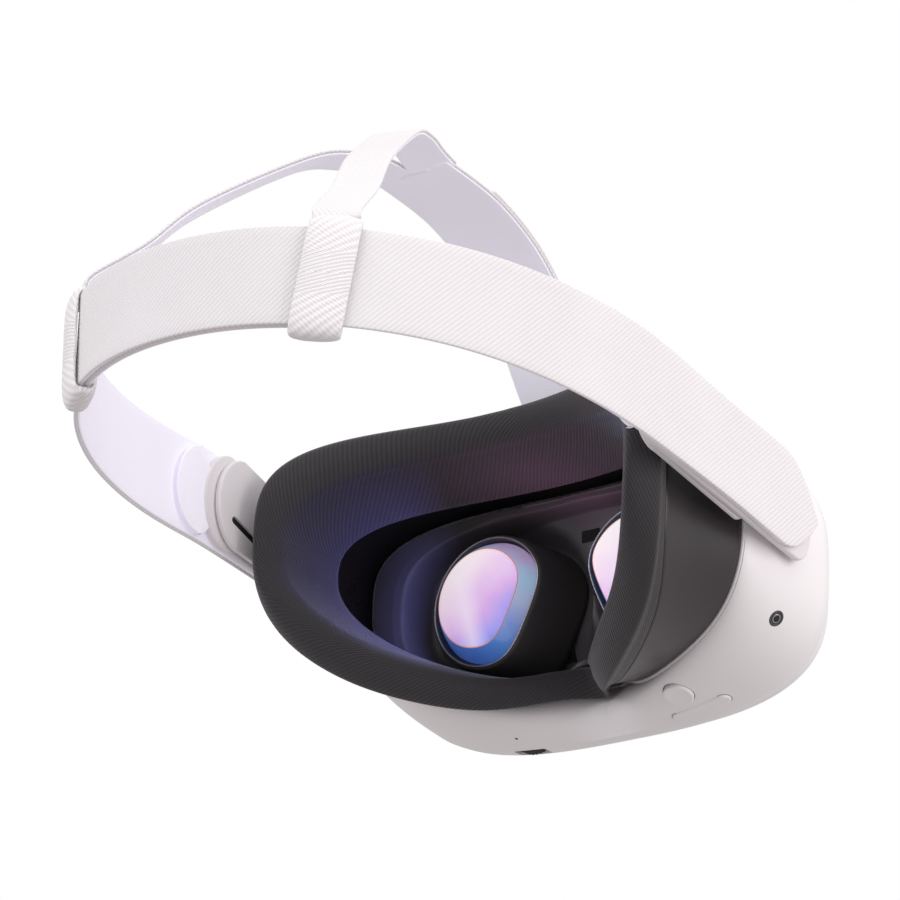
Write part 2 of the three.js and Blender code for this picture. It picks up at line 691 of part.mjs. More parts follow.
// Slider loops: sleeves round both strap layers.
// Their tops lean forward along the strap, towards the fork of the top strap.
const LOOP_LEAN = 0.145;
function sleeve(s) {
  const rows = [];
  const inner = [];
  const steps = 6;
  const { n } = strapPoint(LOOP_ANGLE, s, 0);
  const lean = new THREE.Vector3(s * n.y, -Math.abs(n.x), 0).multiplyScalar(LOOP_LEAN).add(UP);
  for (let i = 0; i <= steps; i += 1) {
    const across = (2 * i) / steps - 1;
    const angle = LOOP_ANGLE + (across * LOOP_HALF_LENGTH) / 97;
    const puff = 1.1 * (1 - across ** 4);
    const sample = strapPoint(angle, s, STRAP_THICK / 2);
    const centre = sample.p.clone();
    centre.z = strapLift(sample.p.y);
    const half = strapHalf(sample.p.y);
    const thick = 2 * (STRAP_THICK + 0.2) + 3.8 + 2 * puff;
    rows.push(bandSection(centre, sample.n, lean, half + 3.6 + puff * 0.4, thick));
    const hollow = 2 * (STRAP_THICK + 0.2) + 1.7;
    inner.push(bandSection(centre, sample.n, lean, half + 1.9, hollow));
  }
  return ringBody([...rows, ...inner.reverse()]);
}
addPart('slider_loop_left', sleeve(SIDE.left), 'webbing');
addPart('slider_loop_right', sleeve(SIDE.right), 'webbing');

// ---------- rigid side arms ----------
function armOutline(frontY, rearY, frontHalf, rearHalf) {
  const shape = new THREE.Shape();
  const steps = 12;
  const frontZ = strapLift(frontY) - (STRAP_HALF_FRONT - frontHalf) * 0.35;
  const rearZ = strapLift(rearY) - 1;
  for (let i = 0; i <= steps; i += 1) {
    const t = Math.PI / 2 + (Math.PI * i) / steps;
    const px = frontY + frontHalf * 0.6 + frontHalf * 0.6 * Math.cos(t);
    const py = frontZ + frontHalf * Math.sin(t);
    if (i === 0) shape.moveTo(px, py);
    else shape.lineTo(px, py);
  }
  for (let i = 0; i <= steps; i += 1) {
    const t = -Math.PI / 2 + (Math.PI * i) / steps;
    const px = rearY - rearHalf * 0.75 + rearHalf * 0.75 * Math.cos(t);
    const py = rearZ + rearHalf * Math.sin(t);
    shape.lineTo(px, py);
  }
  return shape;
}

// An outline drawn in (y, z) pulled along x between two depths on one side.
function sidePlate(shape, s, inside, outside) {
  const geometry = new THREE.ExtrudeGeometry(shape, {
    depth: outside - inside, bevelEnabled: false, curveSegments: 10,
  });
  const m = new THREE.Matrix4().makeBasis(
    new THREE.Vector3(0, 1, 0), new THREE.Vector3(0, 0, 1), new THREE.Vector3(1, 0, 0),
  );
  geometry.applyMatrix4(m);
  geometry.translate(inside, 0, 0);
  if (s < 0) {
    geometry.scale(-1, 1, 1);
    const flipped = geometry.index ? geometry.toNonIndexed() : geometry;
    const p = flipped.attributes.position.array;
    for (let i = 0; i < p.length; i += 9) {
      for (let k = 0; k < 3; k += 1) {
        const keep = p[i + 3 + k];
        p[i + 3 + k] = p[i + 6 + k];
        p[i + 6 + k] = keep;
      }
    }
    return mergeVertices(new THREE.BufferGeometry().setAttribute('position',
      new THREE.BufferAttribute(p, 3)), 1e-4);
  }
  return geometry;
}

const speaker = { y: 56, z: 20.6, length: 34, height: 18 };
const slot = { y: 65, z: 15.8, length: 16.5, width: 2, tilt: 0.38 };
Object.entries(SIDE).forEach(([name, s]) => {
  const armInner = ARM_OUTER_X - ARM_THICK;
  const armShape = armOutline(ARM_FRONT_Y, ARM_REAR_Y, 12.5, 17);
  const arm = sidePlate(armShape, s, armInner, ARM_OUTER_X);
  const pocket = box(2.6, speaker.length + 1, speaker.height + 1, s * armInner, speaker.y,
    speaker.z);
  addPart(`side_arm_${name}`, cutFrom(arm, [pocket]), 'shell');
  const coverShape = armOutline(COVER_FRONT_Y, COVER_REAR_Y, 13, 16.4);
  const cover = sidePlate(coverShape, s, armInner - 2.5, armInner - 0.3);
  const coverPocket = box(2.2, speaker.length + 1, speaker.height + 1, s * (armInner - 0.3),
    speaker.y, speaker.z);
  const slotCut = obround(slot.length, slot.width, 12);
  slotCut.rotateZ(slot.tilt);
  slotCut.rotateX(Math.PI / 2);
  slotCut.rotateZ(Math.PI / 2);
  slotCut.translate(s * (armInner - 1), slot.y, slot.z);
  addPart(`arm_cover_${name}`, cutFrom(cover, [coverPocket, slotCut]), 'shell');
  addPart(`speaker_${name}`, box(2.0, speaker.length, speaker.height, s * (armInner - 0.1),
    speaker.y, speaker.z), 'dark');
  const tipShape = armOutline(ARM_REAR_Y - 6, ARM_REAR_Y + 13, 14.5, 15.6);
  const gap = armOutline(ARM_FRONT_Y, ARM_REAR_Y + 0.6, 13.1, 17.6);
  const tip = sidePlate(tipShape, s, armInner + 0.7, ARM_OUTER_X - 0.3);
  const hollow = sidePlate(gap, s, armInner - 2, ARM_OUTER_X + 2);
  addPart(`strap_tab_${name}`, cutFrom(tip, [hollow]), 'webbing');
  addPart(`arm_pivot_${name}`, rod(PIVOT_RADIUS, 8, 'x', s * (armInner - 4.4), PIVOT_Y, PIVOT_Z),
    'dark');
});

// ---------- top strap ----------
function curveBand(points, widthStart, widthEnd, half, thick, steps, from, to) {
  const curve = new THREE.CatmullRomCurve3(points);
  const rows = [];
  for (let i = 0; i <= steps; i += 1) {
    const t = from + ((to - from) * i) / steps;
    const centre = curve.getPointAt(t);
    const along = curve.getTangentAt(t);
    const wide = widthStart.clone().lerp(widthEnd, THREE.MathUtils.smoothstep(t, 0, 1));
    wide.addScaledVector(along, -wide.dot(along)).normalize();
    const normal = along.clone().cross(wide).normalize();
    rows.push(bandSection(centre, normal, wide, half(t), thick));
  }
  return capsuleBody(rows);
}

const vec = (x, y, z) => new THREE.Vector3(x, y, z);
const ARCH = { footY: -8, footZ: 51.8, kneeY: 6, kneeZ: 67, shoulderY: 30, shoulderZ: 98.5,
  crownY: 57, crownZ: 113.5, joinY: 88, joinZ: 118.5 };
const archPath = [
  vec(0, ARCH.footY, ARCH.footZ), vec(0, ARCH.kneeY, ARCH.kneeZ),
  vec(0, ARCH.shoulderY, ARCH.shoulderZ), vec(0, ARCH.crownY, ARCH.crownZ),
  vec(0, ARCH.joinY, ARCH.joinZ),
];
const across = vec(1, 0, 0);
addPart('top_strap', curveBand(archPath, across, across, () => TOP_STRAP_WIDTH / 2,
  TOP_STRAP_THICK, 24, 0, 1), 'webbing');
const tailLift = TOP_STRAP_THICK + 0.3;
const tailPath = archPath.map((p, i) => {
  const a = archPath[Math.max(0, i - 1)];
  const b = archPath[Math.min(archPath.length - 1, i + 1)];
  const along = b.clone().sub(a).normalize();
  return p.clone().add(vec(0, -along.z, along.y).multiplyScalar(tailLift));
});
addPart('top_strap_tail', curveBand(tailPath, across, across, () => TOP_STRAP_WIDTH / 2 - 0.6,
  1.2, 20, 0.16, 0.78), 'webbing');

const LOOP_TOP = strapPoint(LOOP_ANGLE, 1, STRAP_THICK / 2);
Object.entries(SIDE).forEach(([name, s]) => {
  const leanTop = LOOP_LEAN * (strapHalf(LOOP_TOP.p.y) + 3);
  const endX = s * (LOOP_TOP.p.x + leanTop * LOOP_TOP.n.y);
  const endY = LOOP_TOP.p.y - leanTop * LOOP_TOP.n.x;
  const endZ = strapLift(endY) + strapHalf(endY) + 5.4;
  const path = [
    vec(s * 8.8, ARCH.joinY + 4.2, ARCH.joinZ + 0.4), vec(s * 14, 105, 120),
    vec(s * 21, 121, 113.5), vec(s * 36, 152, 89.5), vec(s * 44, 168, 71),
    vec(endX, endY, endZ),
  ];
  const tangent = vec(-s * LOOP_TOP.n.y, Math.abs(LOOP_TOP.n.x), 0).multiplyScalar(s);
  const startWidth = vec(1, -s * 0.3, 0).normalize();
  const half = (t) => 7.8 + (BRANCH_WIDTH / 2 - 7.8) * THREE.MathUtils.smoothstep(t, 0, 0.3)
    - 4.4 * THREE.MathUtils.smoothstep(t, 0.7, 1);
  addPart(`strap_branch_${name}`, curveBand(path, startWidth, tangent.multiplyScalar(-1), half,
    TOP_STRAP_THICK, 24, 0, 1), 'webbing');
});
const bracketZ = 48.6;
const bracket = cutFrom(box(40, 9, 3.4, 0, ARCH.footY, bracketZ),
  [box(33, 3.6, 8, 0, ARCH.footY, bracketZ)]);
addPart('top_bracket', bracket, 'dark');

export default root;
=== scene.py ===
# Visual model of the VR headset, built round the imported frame.
import math
import bpy
import bmesh
import numpy as np
from mathutils import Matrix, Vector


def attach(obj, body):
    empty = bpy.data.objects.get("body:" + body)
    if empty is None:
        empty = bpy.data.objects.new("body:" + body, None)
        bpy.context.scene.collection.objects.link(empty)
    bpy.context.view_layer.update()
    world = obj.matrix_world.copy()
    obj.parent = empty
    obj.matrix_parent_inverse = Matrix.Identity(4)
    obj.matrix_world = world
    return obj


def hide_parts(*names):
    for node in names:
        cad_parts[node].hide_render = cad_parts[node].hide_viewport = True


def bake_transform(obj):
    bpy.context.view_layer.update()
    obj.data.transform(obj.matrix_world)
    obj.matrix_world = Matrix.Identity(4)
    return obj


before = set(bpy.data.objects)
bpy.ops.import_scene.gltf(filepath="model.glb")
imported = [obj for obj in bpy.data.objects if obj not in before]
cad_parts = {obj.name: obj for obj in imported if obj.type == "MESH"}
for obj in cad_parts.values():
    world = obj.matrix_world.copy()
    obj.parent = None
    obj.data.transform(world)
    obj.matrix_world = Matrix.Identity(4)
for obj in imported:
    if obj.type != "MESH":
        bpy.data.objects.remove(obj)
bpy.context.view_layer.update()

MM = 0.001
OY, OZ = -70.59, 46.0          # lens-axis frame (mm) to the row frame
N = 256                        # points round a goggle outline


# ---------------------------------------------------------------- materials
class Nodes:
    """Small helper that writes node trees in a readable order."""

    def __init__(self, name, **bsdf):
        self.mat = bpy.data.materials.new(name)
        self.mat.use_nodes = True
        self.t = self.mat.node_tree
        self.b = self.t.nodes["Principled BSDF"]
        for key, value in bsdf.items():
            self.b.inputs[key.replace("_", " ")].default_value = value

    def add(self, kind, **props):
        node = self.t.nodes.new(kind)
        for key, value in props.items():
            setattr(node, key, value)
        return node

    def link(self, a, b):
        self.t.links.new(a, b)

    def put(self, socket, value):
        if isinstance(value, (int, float, tuple, list)):
            socket.default_value = value
        else:
            self.link(value, socket)

    def math(self, op, a, b=0.0, c=None):
        n = self.add("ShaderNodeMath", operation=op)
        self.put(n.inputs[0], a)
        self.put(n.inputs[1], b)
        if c is not None:
            self.put(n.inputs[2], c)
        return n.outputs[0]

    def coord(self, kind="Object"):
        return self.add("ShaderNodeTexCoord").outputs[kind]

    def split(self, vector):
        n = self.add("ShaderNodeSeparateXYZ")
        self.link(vector, n.inputs[0])
        return n.outputs

    def noise(self, vector, scale, detail=4.0, rough=0.55):
        n = self.add("ShaderNodeTexNoise")
        self.link(vector, n.inputs["Vector"])
        n.inputs["Scale"].default_value = scale
        n.inputs["Detail"].default_value = detail
        n.inputs["Roughness"].default_value = rough
        return n.outputs["Fac"]

    def ramp(self, fac, *stops):
        n = self.add("ShaderNodeValToRGB")
        e = n.color_ramp.elements
        while len(e) < len(stops):
            e.new(0.5)
        for item, (at, colour) in zip(e, stops):
            item.position = at
            item.color = (*colour, 1.0)
        self.put(n.inputs[0], fac)
        return n.outputs[0]

    def range(self, value, lo, hi, a=0.0, b=1.0):
        n = self.add("ShaderNodeMapRange")
        self.put(n.inputs[0], value)
        for i, v in zip((1, 2, 3, 4), (lo, hi, a, b)):
            n.inputs[i].default_value = v
        return n.outputs[0]

    def mix(self, fac, a, b, mode="MIX"):
        n = self.add("ShaderNodeMix", data_type="RGBA", blend_type=mode)
        self.put(n.inputs[0], fac)
        for i, v in ((6, a), (7, b)):
            self.put(n.inputs[i], (*v, 1.0) if isinstance(v, tuple) and len(v) == 3 else v)
        return n.outputs[2]

    def bump(self, height, strength, distance, normal=None):
        n = self.add("ShaderNodeBump")
        n.inputs["Strength"].default_value = strength
        n.inputs["Distance"].default_value = distance
        self.link(height, n.inputs["Height"])
        if normal is not None:
            self.link(normal, n.inputs["Normal"])
        return n.outputs[0]

    def wave(self, value, period):
        """0..1 sine of a length in mm."""
        s = self.math("SINE", self.math("MULTIPLY", value, 2 * math.pi / period))
        return self.math("MULTIPLY_ADD", s, 0.5, 0.5)

    def done(self, colour=None, rough=None, normal=None):
        if colour is not None:
            self.put(self.b.inputs["Base Color"], colour)
        if rough is not None:
            self.put(self.b.inputs["Roughness"], rough)
        if normal is not None:
            self.link(normal, self.b.inputs["Normal"])
        return self.mat


def convex_edges(n):
    """Mask that picks out sharp convex edges, by pointiness."""
    geo = n.add("ShaderNodeNewGeometry")
    return n.range(geo.outputs["Pointiness"], 0.62, 0.7)


def plastic(name, colour, rough, grain=0.00006, spread=0.06, edge_colour=None, **bsdf):
    """Moulded surface: cloudy colour, uneven gloss, fine grain and, if given, another colour on
    sharp convex edges.
    """
    n = Nodes(name, **bsdf)
    c = n.coord()
    cloud = n.noise(c, 26.0, 3.0)
    fine = n.noise(c, 3600.0, 2.0)
    dark = tuple(v * (1 - spread) for v in colour)
    base = n.mix(n.range(cloud, 0.3, 0.7), dark, colour)
    if edge_colour is not None:
        base = n.mix(convex_edges(n), base, edge_colour)
    r = n.range(n.noise(c, 60.0, 5.0), 0.25, 0.75, rough - 0.05, rough + 0.06)
    return n.done(base, r, n.bump(fine, 0.35, grain))


def twill(name, light, dark, period, steep=1.0, cross=0.5, depth=0.00018, rough=0.88,
          tint=None, **bsdf):
    """Diagonal ribbed elastic: ribs in UV millimetres, broken up by a finer cross thread."""
    n = Nodes(name, **bsdf)
    u, v, _ = n.split(n.coord("UV"))
    run = n.math("MULTIPLY_ADD", v, steep, u)
    back = n.math("MULTIPLY_ADD", v, -steep, u)
    rib = n.wave(run, period)
    thread = n.wave(back, period * cross)
    height = n.math("MULTIPLY_ADD", thread, 0.45, rib)
    fuzz = n.noise(n.coord(), 1500.0, 3.0)
    height = n.math("MULTIPLY_ADD", fuzz, 0.35, height)
    shade = n.range(height, 0.15, 1.25)
    cloud = n.noise(n.coord(), 22.0, 3.0)
    base = n.mix(shade, dark, light)
    warm = tint if tint else tuple(v * 0.965 for v in light)
    base = n.mix(n.range(cloud, 0.35, 0.75, 0.0, 0.5), base, warm)
    return n.done(base, rough, n.bump(height, 0.8, depth))


M = {}
M["white"] = plastic("white_shell", (0.84, 0.82, 0.82), 0.42, 0.00003, 0.02,
                     (0.87, 0.86, 0.86), Specular_IOR_Level=0.45)
M["arm"] = plastic("arm_shell", (0.77, 0.74, 0.75), 0.47, 0.00005, 0.03, (0.84, 0.82, 0.82))
M["dark"] = plastic("soft_touch_dark", (0.034, 0.030, 0.033), 0.30, 0.00004, 0.12,
                    (0.06, 0.055, 0.06), Specular_IOR_Level=0.55)
M["inner"] = plastic("inner_moulding", (0.085, 0.080, 0.085), 0.5, 0.0001, 0.2,
                     (0.05, 0.047, 0.052))
M["barrel"] = plastic("barrel_moulding", (0.060, 0.056, 0.058), 0.52, 0.00006, 0.2)
# Light grey used as painted shade in the gaps round the rocker and the power button.
M["gap"] = plastic("gap_painted_shade", (0.34, 0.32, 0.325), 0.6, 0.00004, 0.15)
# Near black: the colour of dark parts such as the speakers, and painted shade on discs and beads
# in holes and seams.
M["black_and_shade"] = plastic("black_and_painted_shade", (0.012, 0.011, 0.012), 0.7, 0.00004, 0.3)
M["seal"] = plastic("soft_seal", (0.02, 0.019, 0.02), 0.65, 0.0001, 0.25)
M["knit"] = twill("knitted_cushion", (0.040, 0.036, 0.040), (0.016, 0.0145, 0.0165), 1.7,
                  1.0, 0.42, 0.00014, 0.86, (0.03, 0.027, 0.031),
                  Sheen_Weight=0.22, Sheen_Roughness=0.4)
M["web"] = twill("webbing_outer", (0.79, 0.775, 0.775), (0.67, 0.65, 0.655), 1.75, 1.0, 0.42,
                 0.0001, 0.86, (0.83, 0.81, 0.815), Sheen_Weight=0.2)
M["sleeve"] = twill("webbing_sleeve", (0.86, 0.84, 0.84), (0.70, 0.675, 0.68), 1.7, 0.45, 0.45,
                    0.00018, 0.88, (0.82, 0.80, 0.805), Sheen_Weight=0.25)
M["edge"] = twill("webbing_edge", (0.78, 0.755, 0.765), (0.52, 0.49, 0.51), 1.2, 0.0, 1.0,
                  0.0002, 0.9)


# The lining's emission is painted fill light, which brightens it where it sits in shade inside the
# strap.
def lining():
    n = Nodes("strap_lining", Sheen_Weight=0.25, Emission_Color=(0.80, 0.79, 0.88, 1.0),
              Emission_Strength=0.2)
    c = n.coord()
    u, v, _ = n.split(n.coord("UV"))
    weave = n.math("MULTIPLY", n.wave(u, 0.5), n.wave(v, 0.5))
    height = n.math("MULTIPLY_ADD", n.noise(c, 1200.0, 2.0), 0.5, weave)
    cloud = n.range(n.noise(c, 18.0, 3.0), 0.3, 0.7)
    base = n.mix(cloud, (0.80, 0.785, 0.86), (0.84, 0.825, 0.89))
    return n.done(base, 0.8, n.bump(height, 0.4, 0.00008))


M["lining"] = lining()


# Lens face: the blue-to-pearly colour ramp is a painted reflection of the studio on the lens.
def lens_face():
    n = Nodes("lens_painted_reflection", Roughness=0.3, Specular_IOR_Level=0.12, Coat_Weight=0.0,
              Coat_Roughness=0.05)
    u, v, _ = n.split(n.coord("UV"))
    slope = n.math("MULTIPLY_ADD", v, 0.75, n.math("MULTIPLY", u, 0.55))
    drift = n.noise(n.coord("UV"), 1.3, 2.0)
    slope = n.math("ADD", slope, n.math("MULTIPLY", n.math("SUBTRACT", drift, 0.5), 0.5))
    base = n.ramp(n.range(slope, -0.85, 0.75),
                  (0.0, (0.16, 0.24, 0.75)), (0.17, (0.36, 0.33, 0.82)),
                  (0.40, (0.66, 0.42, 0.78)), (0.62, (0.83, 0.62, 0.86)),
                  (0.82, (0.95, 0.80, 0.88)), (1.0, (0.97, 0.93, 0.93)))
    # Painted highlight: a pale band across the lens.
    highlight_line = n.math("SUBTRACT", u, n.math("MULTIPLY", v, 0.28))
    band = n.math("SUBTRACT", 1.0, n.range(n.math("ABSOLUTE", n.math("SUBTRACT", highlight_line, 0.28)),
                                           0.0, 0.33))
    base = n.mix(n.math("MULTIPLY", band, 0.5), base, (0.95, 0.90, 0.95))
    # The painted reflection is also given off as glow, though the lens is no lamp.
    n.put(n.b.inputs["Emission Color"], base)
    n.b.inputs["Emission Strength"].default_value = 0.42
    return n.done(base)


# Lens flank: the blue ramp is a painted reflection on the lens rim, and its emission is painted
# glow.
def lens_flank():
    n = Nodes("lens_flank", Roughness=0.12, Specular_IOR_Level=0.5, Coat_Weight=0.3,
              Coat_Roughness=0.04)
    u, v, _ = n.split(n.coord("UV"))
    drop = n.math("MULTIPLY_ADD", v, 0.9, n.math("MULTIPLY", u, -0.5))
    drift = n.noise(n.coord("UV"), 3.0, 3.0)
    drop = n.math("ADD", drop, n.math("MULTIPLY", n.math("SUBTRACT", drift, 0.5), 0.35))
    base = n.ramp(n.range(drop, -0.95, 0.95),
                  (0.0, (0.07, 0.17, 0.62)), (0.22, (0.10, 0.27, 0.72)),
                  (0.45, (0.30, 0.40, 0.80)), (0.62, (0.47, 0.55, 0.80)),
                  (0.8, (0.42, 0.62, 0.85)), (1.0, (0.55, 0.42, 0.70)))
    n.put(n.b.inputs["Emission Color"], base)
    n.b.inputs["Emission Strength"].default_value = 0.3
    return n.done(base)


M["lens"] = lens_face()
M["flank"] = lens_flank()
# Thin orange line on the lens edge: painted reflection, made to glow with emission.
M["arc"] = plastic("lens_edge_painted_glow", (0.85, 0.42, 0.30), 0.2, 0.00001, 0.3,
                   Emission_Color=(0.85, 0.4, 0.35, 1.0), Emission_Strength=0.15)
M["ring"] = plastic("lens_ring", (0.42, 0.38, 0.40), 0.25, 0.00001, 0.1, Metallic=0.7)
M["glass"] = plastic("dark_window", (0.008, 0.008, 0.010), 0.09, 0.000005, 0.2,
                     Coat_Weight=1.0, Coat_Roughness=0.02)
M["metal"] = plastic("steel_parts", (0.55, 0.55, 0.57), 0.3, 0.00003, 0.1, Metallic=1.0)
M["copper"] = plastic("copper_parts", (0.72, 0.34, 0.19), 0.33, 0.00004, 0.12, Metallic=1.0)
M["board"] = plastic("circuit_board", (0.02, 0.16, 0.08), 0.5, 0.00012, 0.35)
M["cell"] = plastic("battery_wrap", (0.42, 0.43, 0.46), 0.45, 0.00005, 0.1)


# ---------------------------------------------------------------- mesh helpers
def to_row(p):
    q = np.asarray(p, float).copy()
    q[..., 1] += OY
    q[..., 2] += OZ
    return q * MM


def point(x, y, z):
    return tuple(float(v) for v in to_row(np.array([x, y, z])))


def make(name, verts, faces, uvs, material, body):
    """Closed or open mesh object with outward faces, riding on body if one is given."""
    mesh = bpy.data.meshes.new(name)
    mesh.from_pydata([tuple(v) for v in verts], [], faces)
    layer = mesh.uv_layers.new(name="UVMap")
    layer.data.foreach_set("uv", uvs.ravel())
    mesh.materials.append(material)
    obj = bpy.data.objects.new(name, mesh)
    bpy.context.scene.collection.objects.link(obj)
    mesh.polygons.foreach_set("use_smooth", [True] * len(mesh.polygons))
    bm = bmesh.new()
    bm.from_mesh(mesh)
    bmesh.ops.recalc_face_normals(bm, faces=bm.faces)
    if bm.calc_volume(signed=True) < 0:
        bmesh.ops.reverse_faces(bm, faces=bm.faces)
    bm.to_mesh(mesh)
    bm.free()
    if body:
        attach(obj, body)
    return obj


def grid(name, rows, material, body, ends="open", uv_fn=None):
    """Surface through closed rows of points (mm). ends: open, ring or cap."""
    P = np.asarray(rows, float)
    r, c = P.shape[:2]
    if uv_fn is None:
        mid = P[r // 2]
        step = np.linalg.norm(np.roll(mid, -1, 0) - mid, axis=1)
        u = np.concatenate([[0], np.cumsum(step)])
        d = np.linalg.norm(np.diff(np.concatenate([P, P[:1]]), axis=0), axis=2).mean(1)
        v = np.concatenate([[0], np.cumsum(d)])
    faces, uv = [], []
    last = r if ends == "ring" else r - 1
    for i in range(last):
        k = (i + 1) % r
        for j in range(c):
            m = (j + 1) % c
            faces.append((i * c + j, i * c + m, k * c + m, k * c + j))
            if uv_fn is None:
                uv += [(u[j], v[i]), (u[j + 1], v[i]), (u[j + 1], v[i + 1]), (u[j], v[i + 1])]
            else:
                uv += [uv_fn(i, j), uv_fn(i, j + 1), uv_fn(i + 1, j + 1), uv_fn(i + 1, j)]
    if ends == "cap":
        for i, order in ((0, range(c - 1, -1, -1)), (r - 1, range(c))):
            faces.append(tuple(i * c + j for j in order))
            uv += [(P[i, j, 0], P[i, j, 2]) if uv_fn is None else uv_fn(i, j) for j in order]
    return make(name, to_row(P.reshape(-1, 3)), faces, np.array(uv), material, body)


def carve(obj, cutter):
    """Cuts cutter out of obj and removes it."""
    mod = obj.modifiers.new("cut", "BOOLEAN")
    mod.operation = "DIFFERENCE"
    mod.object = cutter
    mod.solver = "EXACT"
    bpy.context.view_layer.update()
    deps = bpy.context.evaluated_depsgraph_get()
    fresh = bpy.data.meshes.new_from_object(obj.evaluated_get(deps))
    obj.modifiers.clear()
    obj.data = fresh
    fresh.set_sharp_from_angle(angle=math.radians(38))
    bpy.data.objects.remove(cutter, do_unlink=True)


def spline(rows, per, closed=False):
    """Catmull-Rom through stations, per steps between two of them."""
    R = np.asarray(rows, float)
    n = len(R)
    out = []
    spans = n if closed else n - 1
    for i in range(spans):
        if closed:
            a, b, c, d = R[(i - 1) % n], R[i], R[(i + 1) % n], R[(i + 2) % n]
        else:
            a, b, c, d = R[max(i - 1, 0)], R[i], R[i + 1], R[min(i + 2, n - 1)]
        for k in range(per):
            t = k / per
            out.append(0.5 * (2 * b + (c - a) * t + (2 * a - 5 * b + 4 * c - d) * t * t
                              + (3 * b - a - 3 * c + d) * t ** 3))
    if not closed:
        out.append(R[-1])
    return np.array(out)


def spow(v, p):
    return np.sign(v) * np.abs(v) ** p


def ease(v, lo, hi):
    t = np.clip((v - lo) / (hi - lo), 0, 1)
    return t * t * (3 - 2 * t)


KEYS = ("halfWidth", "middle", "top", "bottom", "squareTop", "squareBottom", "rear", "wrap",
        "noseForward", "noseReach", "noseRise", "noseWidth")


def ring(*values):
    return dict(zip(KEYS, values))


RIM = ring(82, 3, 38, 39.5, 3.2, 2.65, -2, 15, 31, 24, 9.5, 18)
FLANK = ring(86, -1, 46.5, 45, 3.0, 3.0, -28, 0, 0, 24, 0, 16)
BELLY = dict(FLANK, halfWidth=84, top=46, rear=-33)
SHOULDER = dict(FLANK, halfWidth=79, top=44, bottom=42.5, rear=-40)
FRONT_SEAM = dict(FLANK, halfWidth=73, top=41, bottom=39, rear=-46)
SEAM = ring(78.8, 4, 42, 44.5, 3.2, 2.65, 17.5, 34, 44, 27, 11.5, 18)
OUTER_PAD = ring(83, 7, 47.5, 51.5, 3.8, 2.5, 26, 35, 51, 22, 11.5, 17)
CREST = ring(77, 8.5, 41.5, 45.5, 3.5, 2.3, 36, 33, 54, 25, 10.5, 16)
INNER_CREST = ring(70.5, 6.5, 34.5, 39.5, 2.8, 2.1, 33, 30, 50, 24, 9, 11)
INNER_DEEP = ring(68.5, 5, 29.5, 35, 2.6, 2.15, 4, 33, 27, 24, 8, 12)


def mixed(a, b, t, push=0.0):
    """Ring between a and b, moved back by push mm."""
    out = {k: a[k] + (b[k] - a[k]) * t for k in KEYS}
    out["rear"] += push
    return out


def inset(r, amount, push=0.0):
    """Ring r made smaller all round by amount mm, moved back by push mm."""
    return dict(r, halfWidth=r["halfWidth"] - amount, top=r["top"] - amount,
                bottom=r["bottom"] - amount, rear=r["rear"] + push)


def goggle(r, n=N):
    """Points round a goggle outline: square above, rounder below, wrapped, with a nose notch."""
    t = 2 * np.pi * np.arange(n) / n
    side, rise = np.cos(t), np.sin(t)
    square = np.where(rise >= 0, r["squareTop"], r["squareBottom"])
    x = r["halfWidth"] * spow(side, 2 / square)
    reach = np.where(rise >= 0, r["top"], r["bottom"])
    low = ease(-rise, 0.1, 0.75)
    offset = np.sqrt(x * x + 9) - 3
    nose = low * np.exp(-(x / r["noseWidth"]) ** 2)
    z = r["middle"] + reach * spow(rise, 2 / square) + r["noseRise"] * nose
    wrap = r["wrap"] * np.abs(x / r["halfWidth"]) ** 2.2
    y = r["rear"] + wrap - r["noseForward"] * low * np.exp(-offset / r["noseReach"])
    return np.stack([x, y, z], 1)


# ---------------------------------------------------------------- visor shells
def body_ring(t):
    """Ring of the body between its widest flank (t 0) and its rear rim (t 1)."""
    m = mixed(FLANK, RIM, t)
    m["halfWidth"] = FLANK["halfWidth"] + (RIM["halfWidth"] - FLANK["halfWidth"]) * t ** 2.2
    m["top"] = FLANK["top"] + (RIM["top"] - FLANK["top"]) * t ** 2.0
    m["bottom"] = FLANK["bottom"] + (RIM["bottom"] - FLANK["bottom"]) * t ** 1.9
    m["rear"] = FLANK["rear"] + (RIM["rear"] - FLANK["rear"]) * np.sin(np.pi * t / 2) ** 1.05
    return m


rows = [goggle(inset(FRONT_SEAM, 2.4, 0.8)), goggle(inset(FRONT_SEAM, 0.9, 0.05)),
        goggle(inset(FRONT_SEAM, 0.35, 0.1)), goggle(inset(FRONT_SEAM, 0.02, 0.55))]
rows += list(spline([goggle(dict(FRONT_SEAM, rear=-45.2)),
                     goggle(SHOULDER), goggle(BELLY), goggle(FLANK)], 6))
rows += [goggle(body_ring(t)) for t in np.linspace(0.03, 0.97, 34)]
rows += [goggle(inset(RIM, a, b)) for a, b in
         ((0.0, -0.5), (0.12, -0.15), (0.4, 0.05), (1.2, 0.08), (2.0, 0.0), (2.35, -0.35),
          (2.4, -1.2))]
rows += [goggle(dict(inset(RIM, 2.4, -5.0), noseForward=38)),
         goggle(dict(inset(RIM, 3.4, -7.0), noseForward=40))]
body = grid("body_shell", rows, M["white"], "visor", ends="ring")
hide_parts("rear_body")


def cup():
    """Front cover: rounded edge, then a gently domed face down to the middle."""
    edge = dict(FRONT_SEAM, rear=-46.4)
    out = []
    for a in np.radians(np.linspace(0, 72, 13)):
        out.append(inset(edge, 10 * (1 - math.cos(a)), -10 * math.sin(a)))
    last = out[-1]
    for k in np.linspace(0.97, 0.04, 26):
        r = dict(last, rear=last["rear"] + (-64 - last["rear"]) * (1 - k * k))
        for key in ("halfWidth", "top", "bottom"):
            r[key] = last[key] * k
        out.append(r)
    return [goggle(r) for r in out]


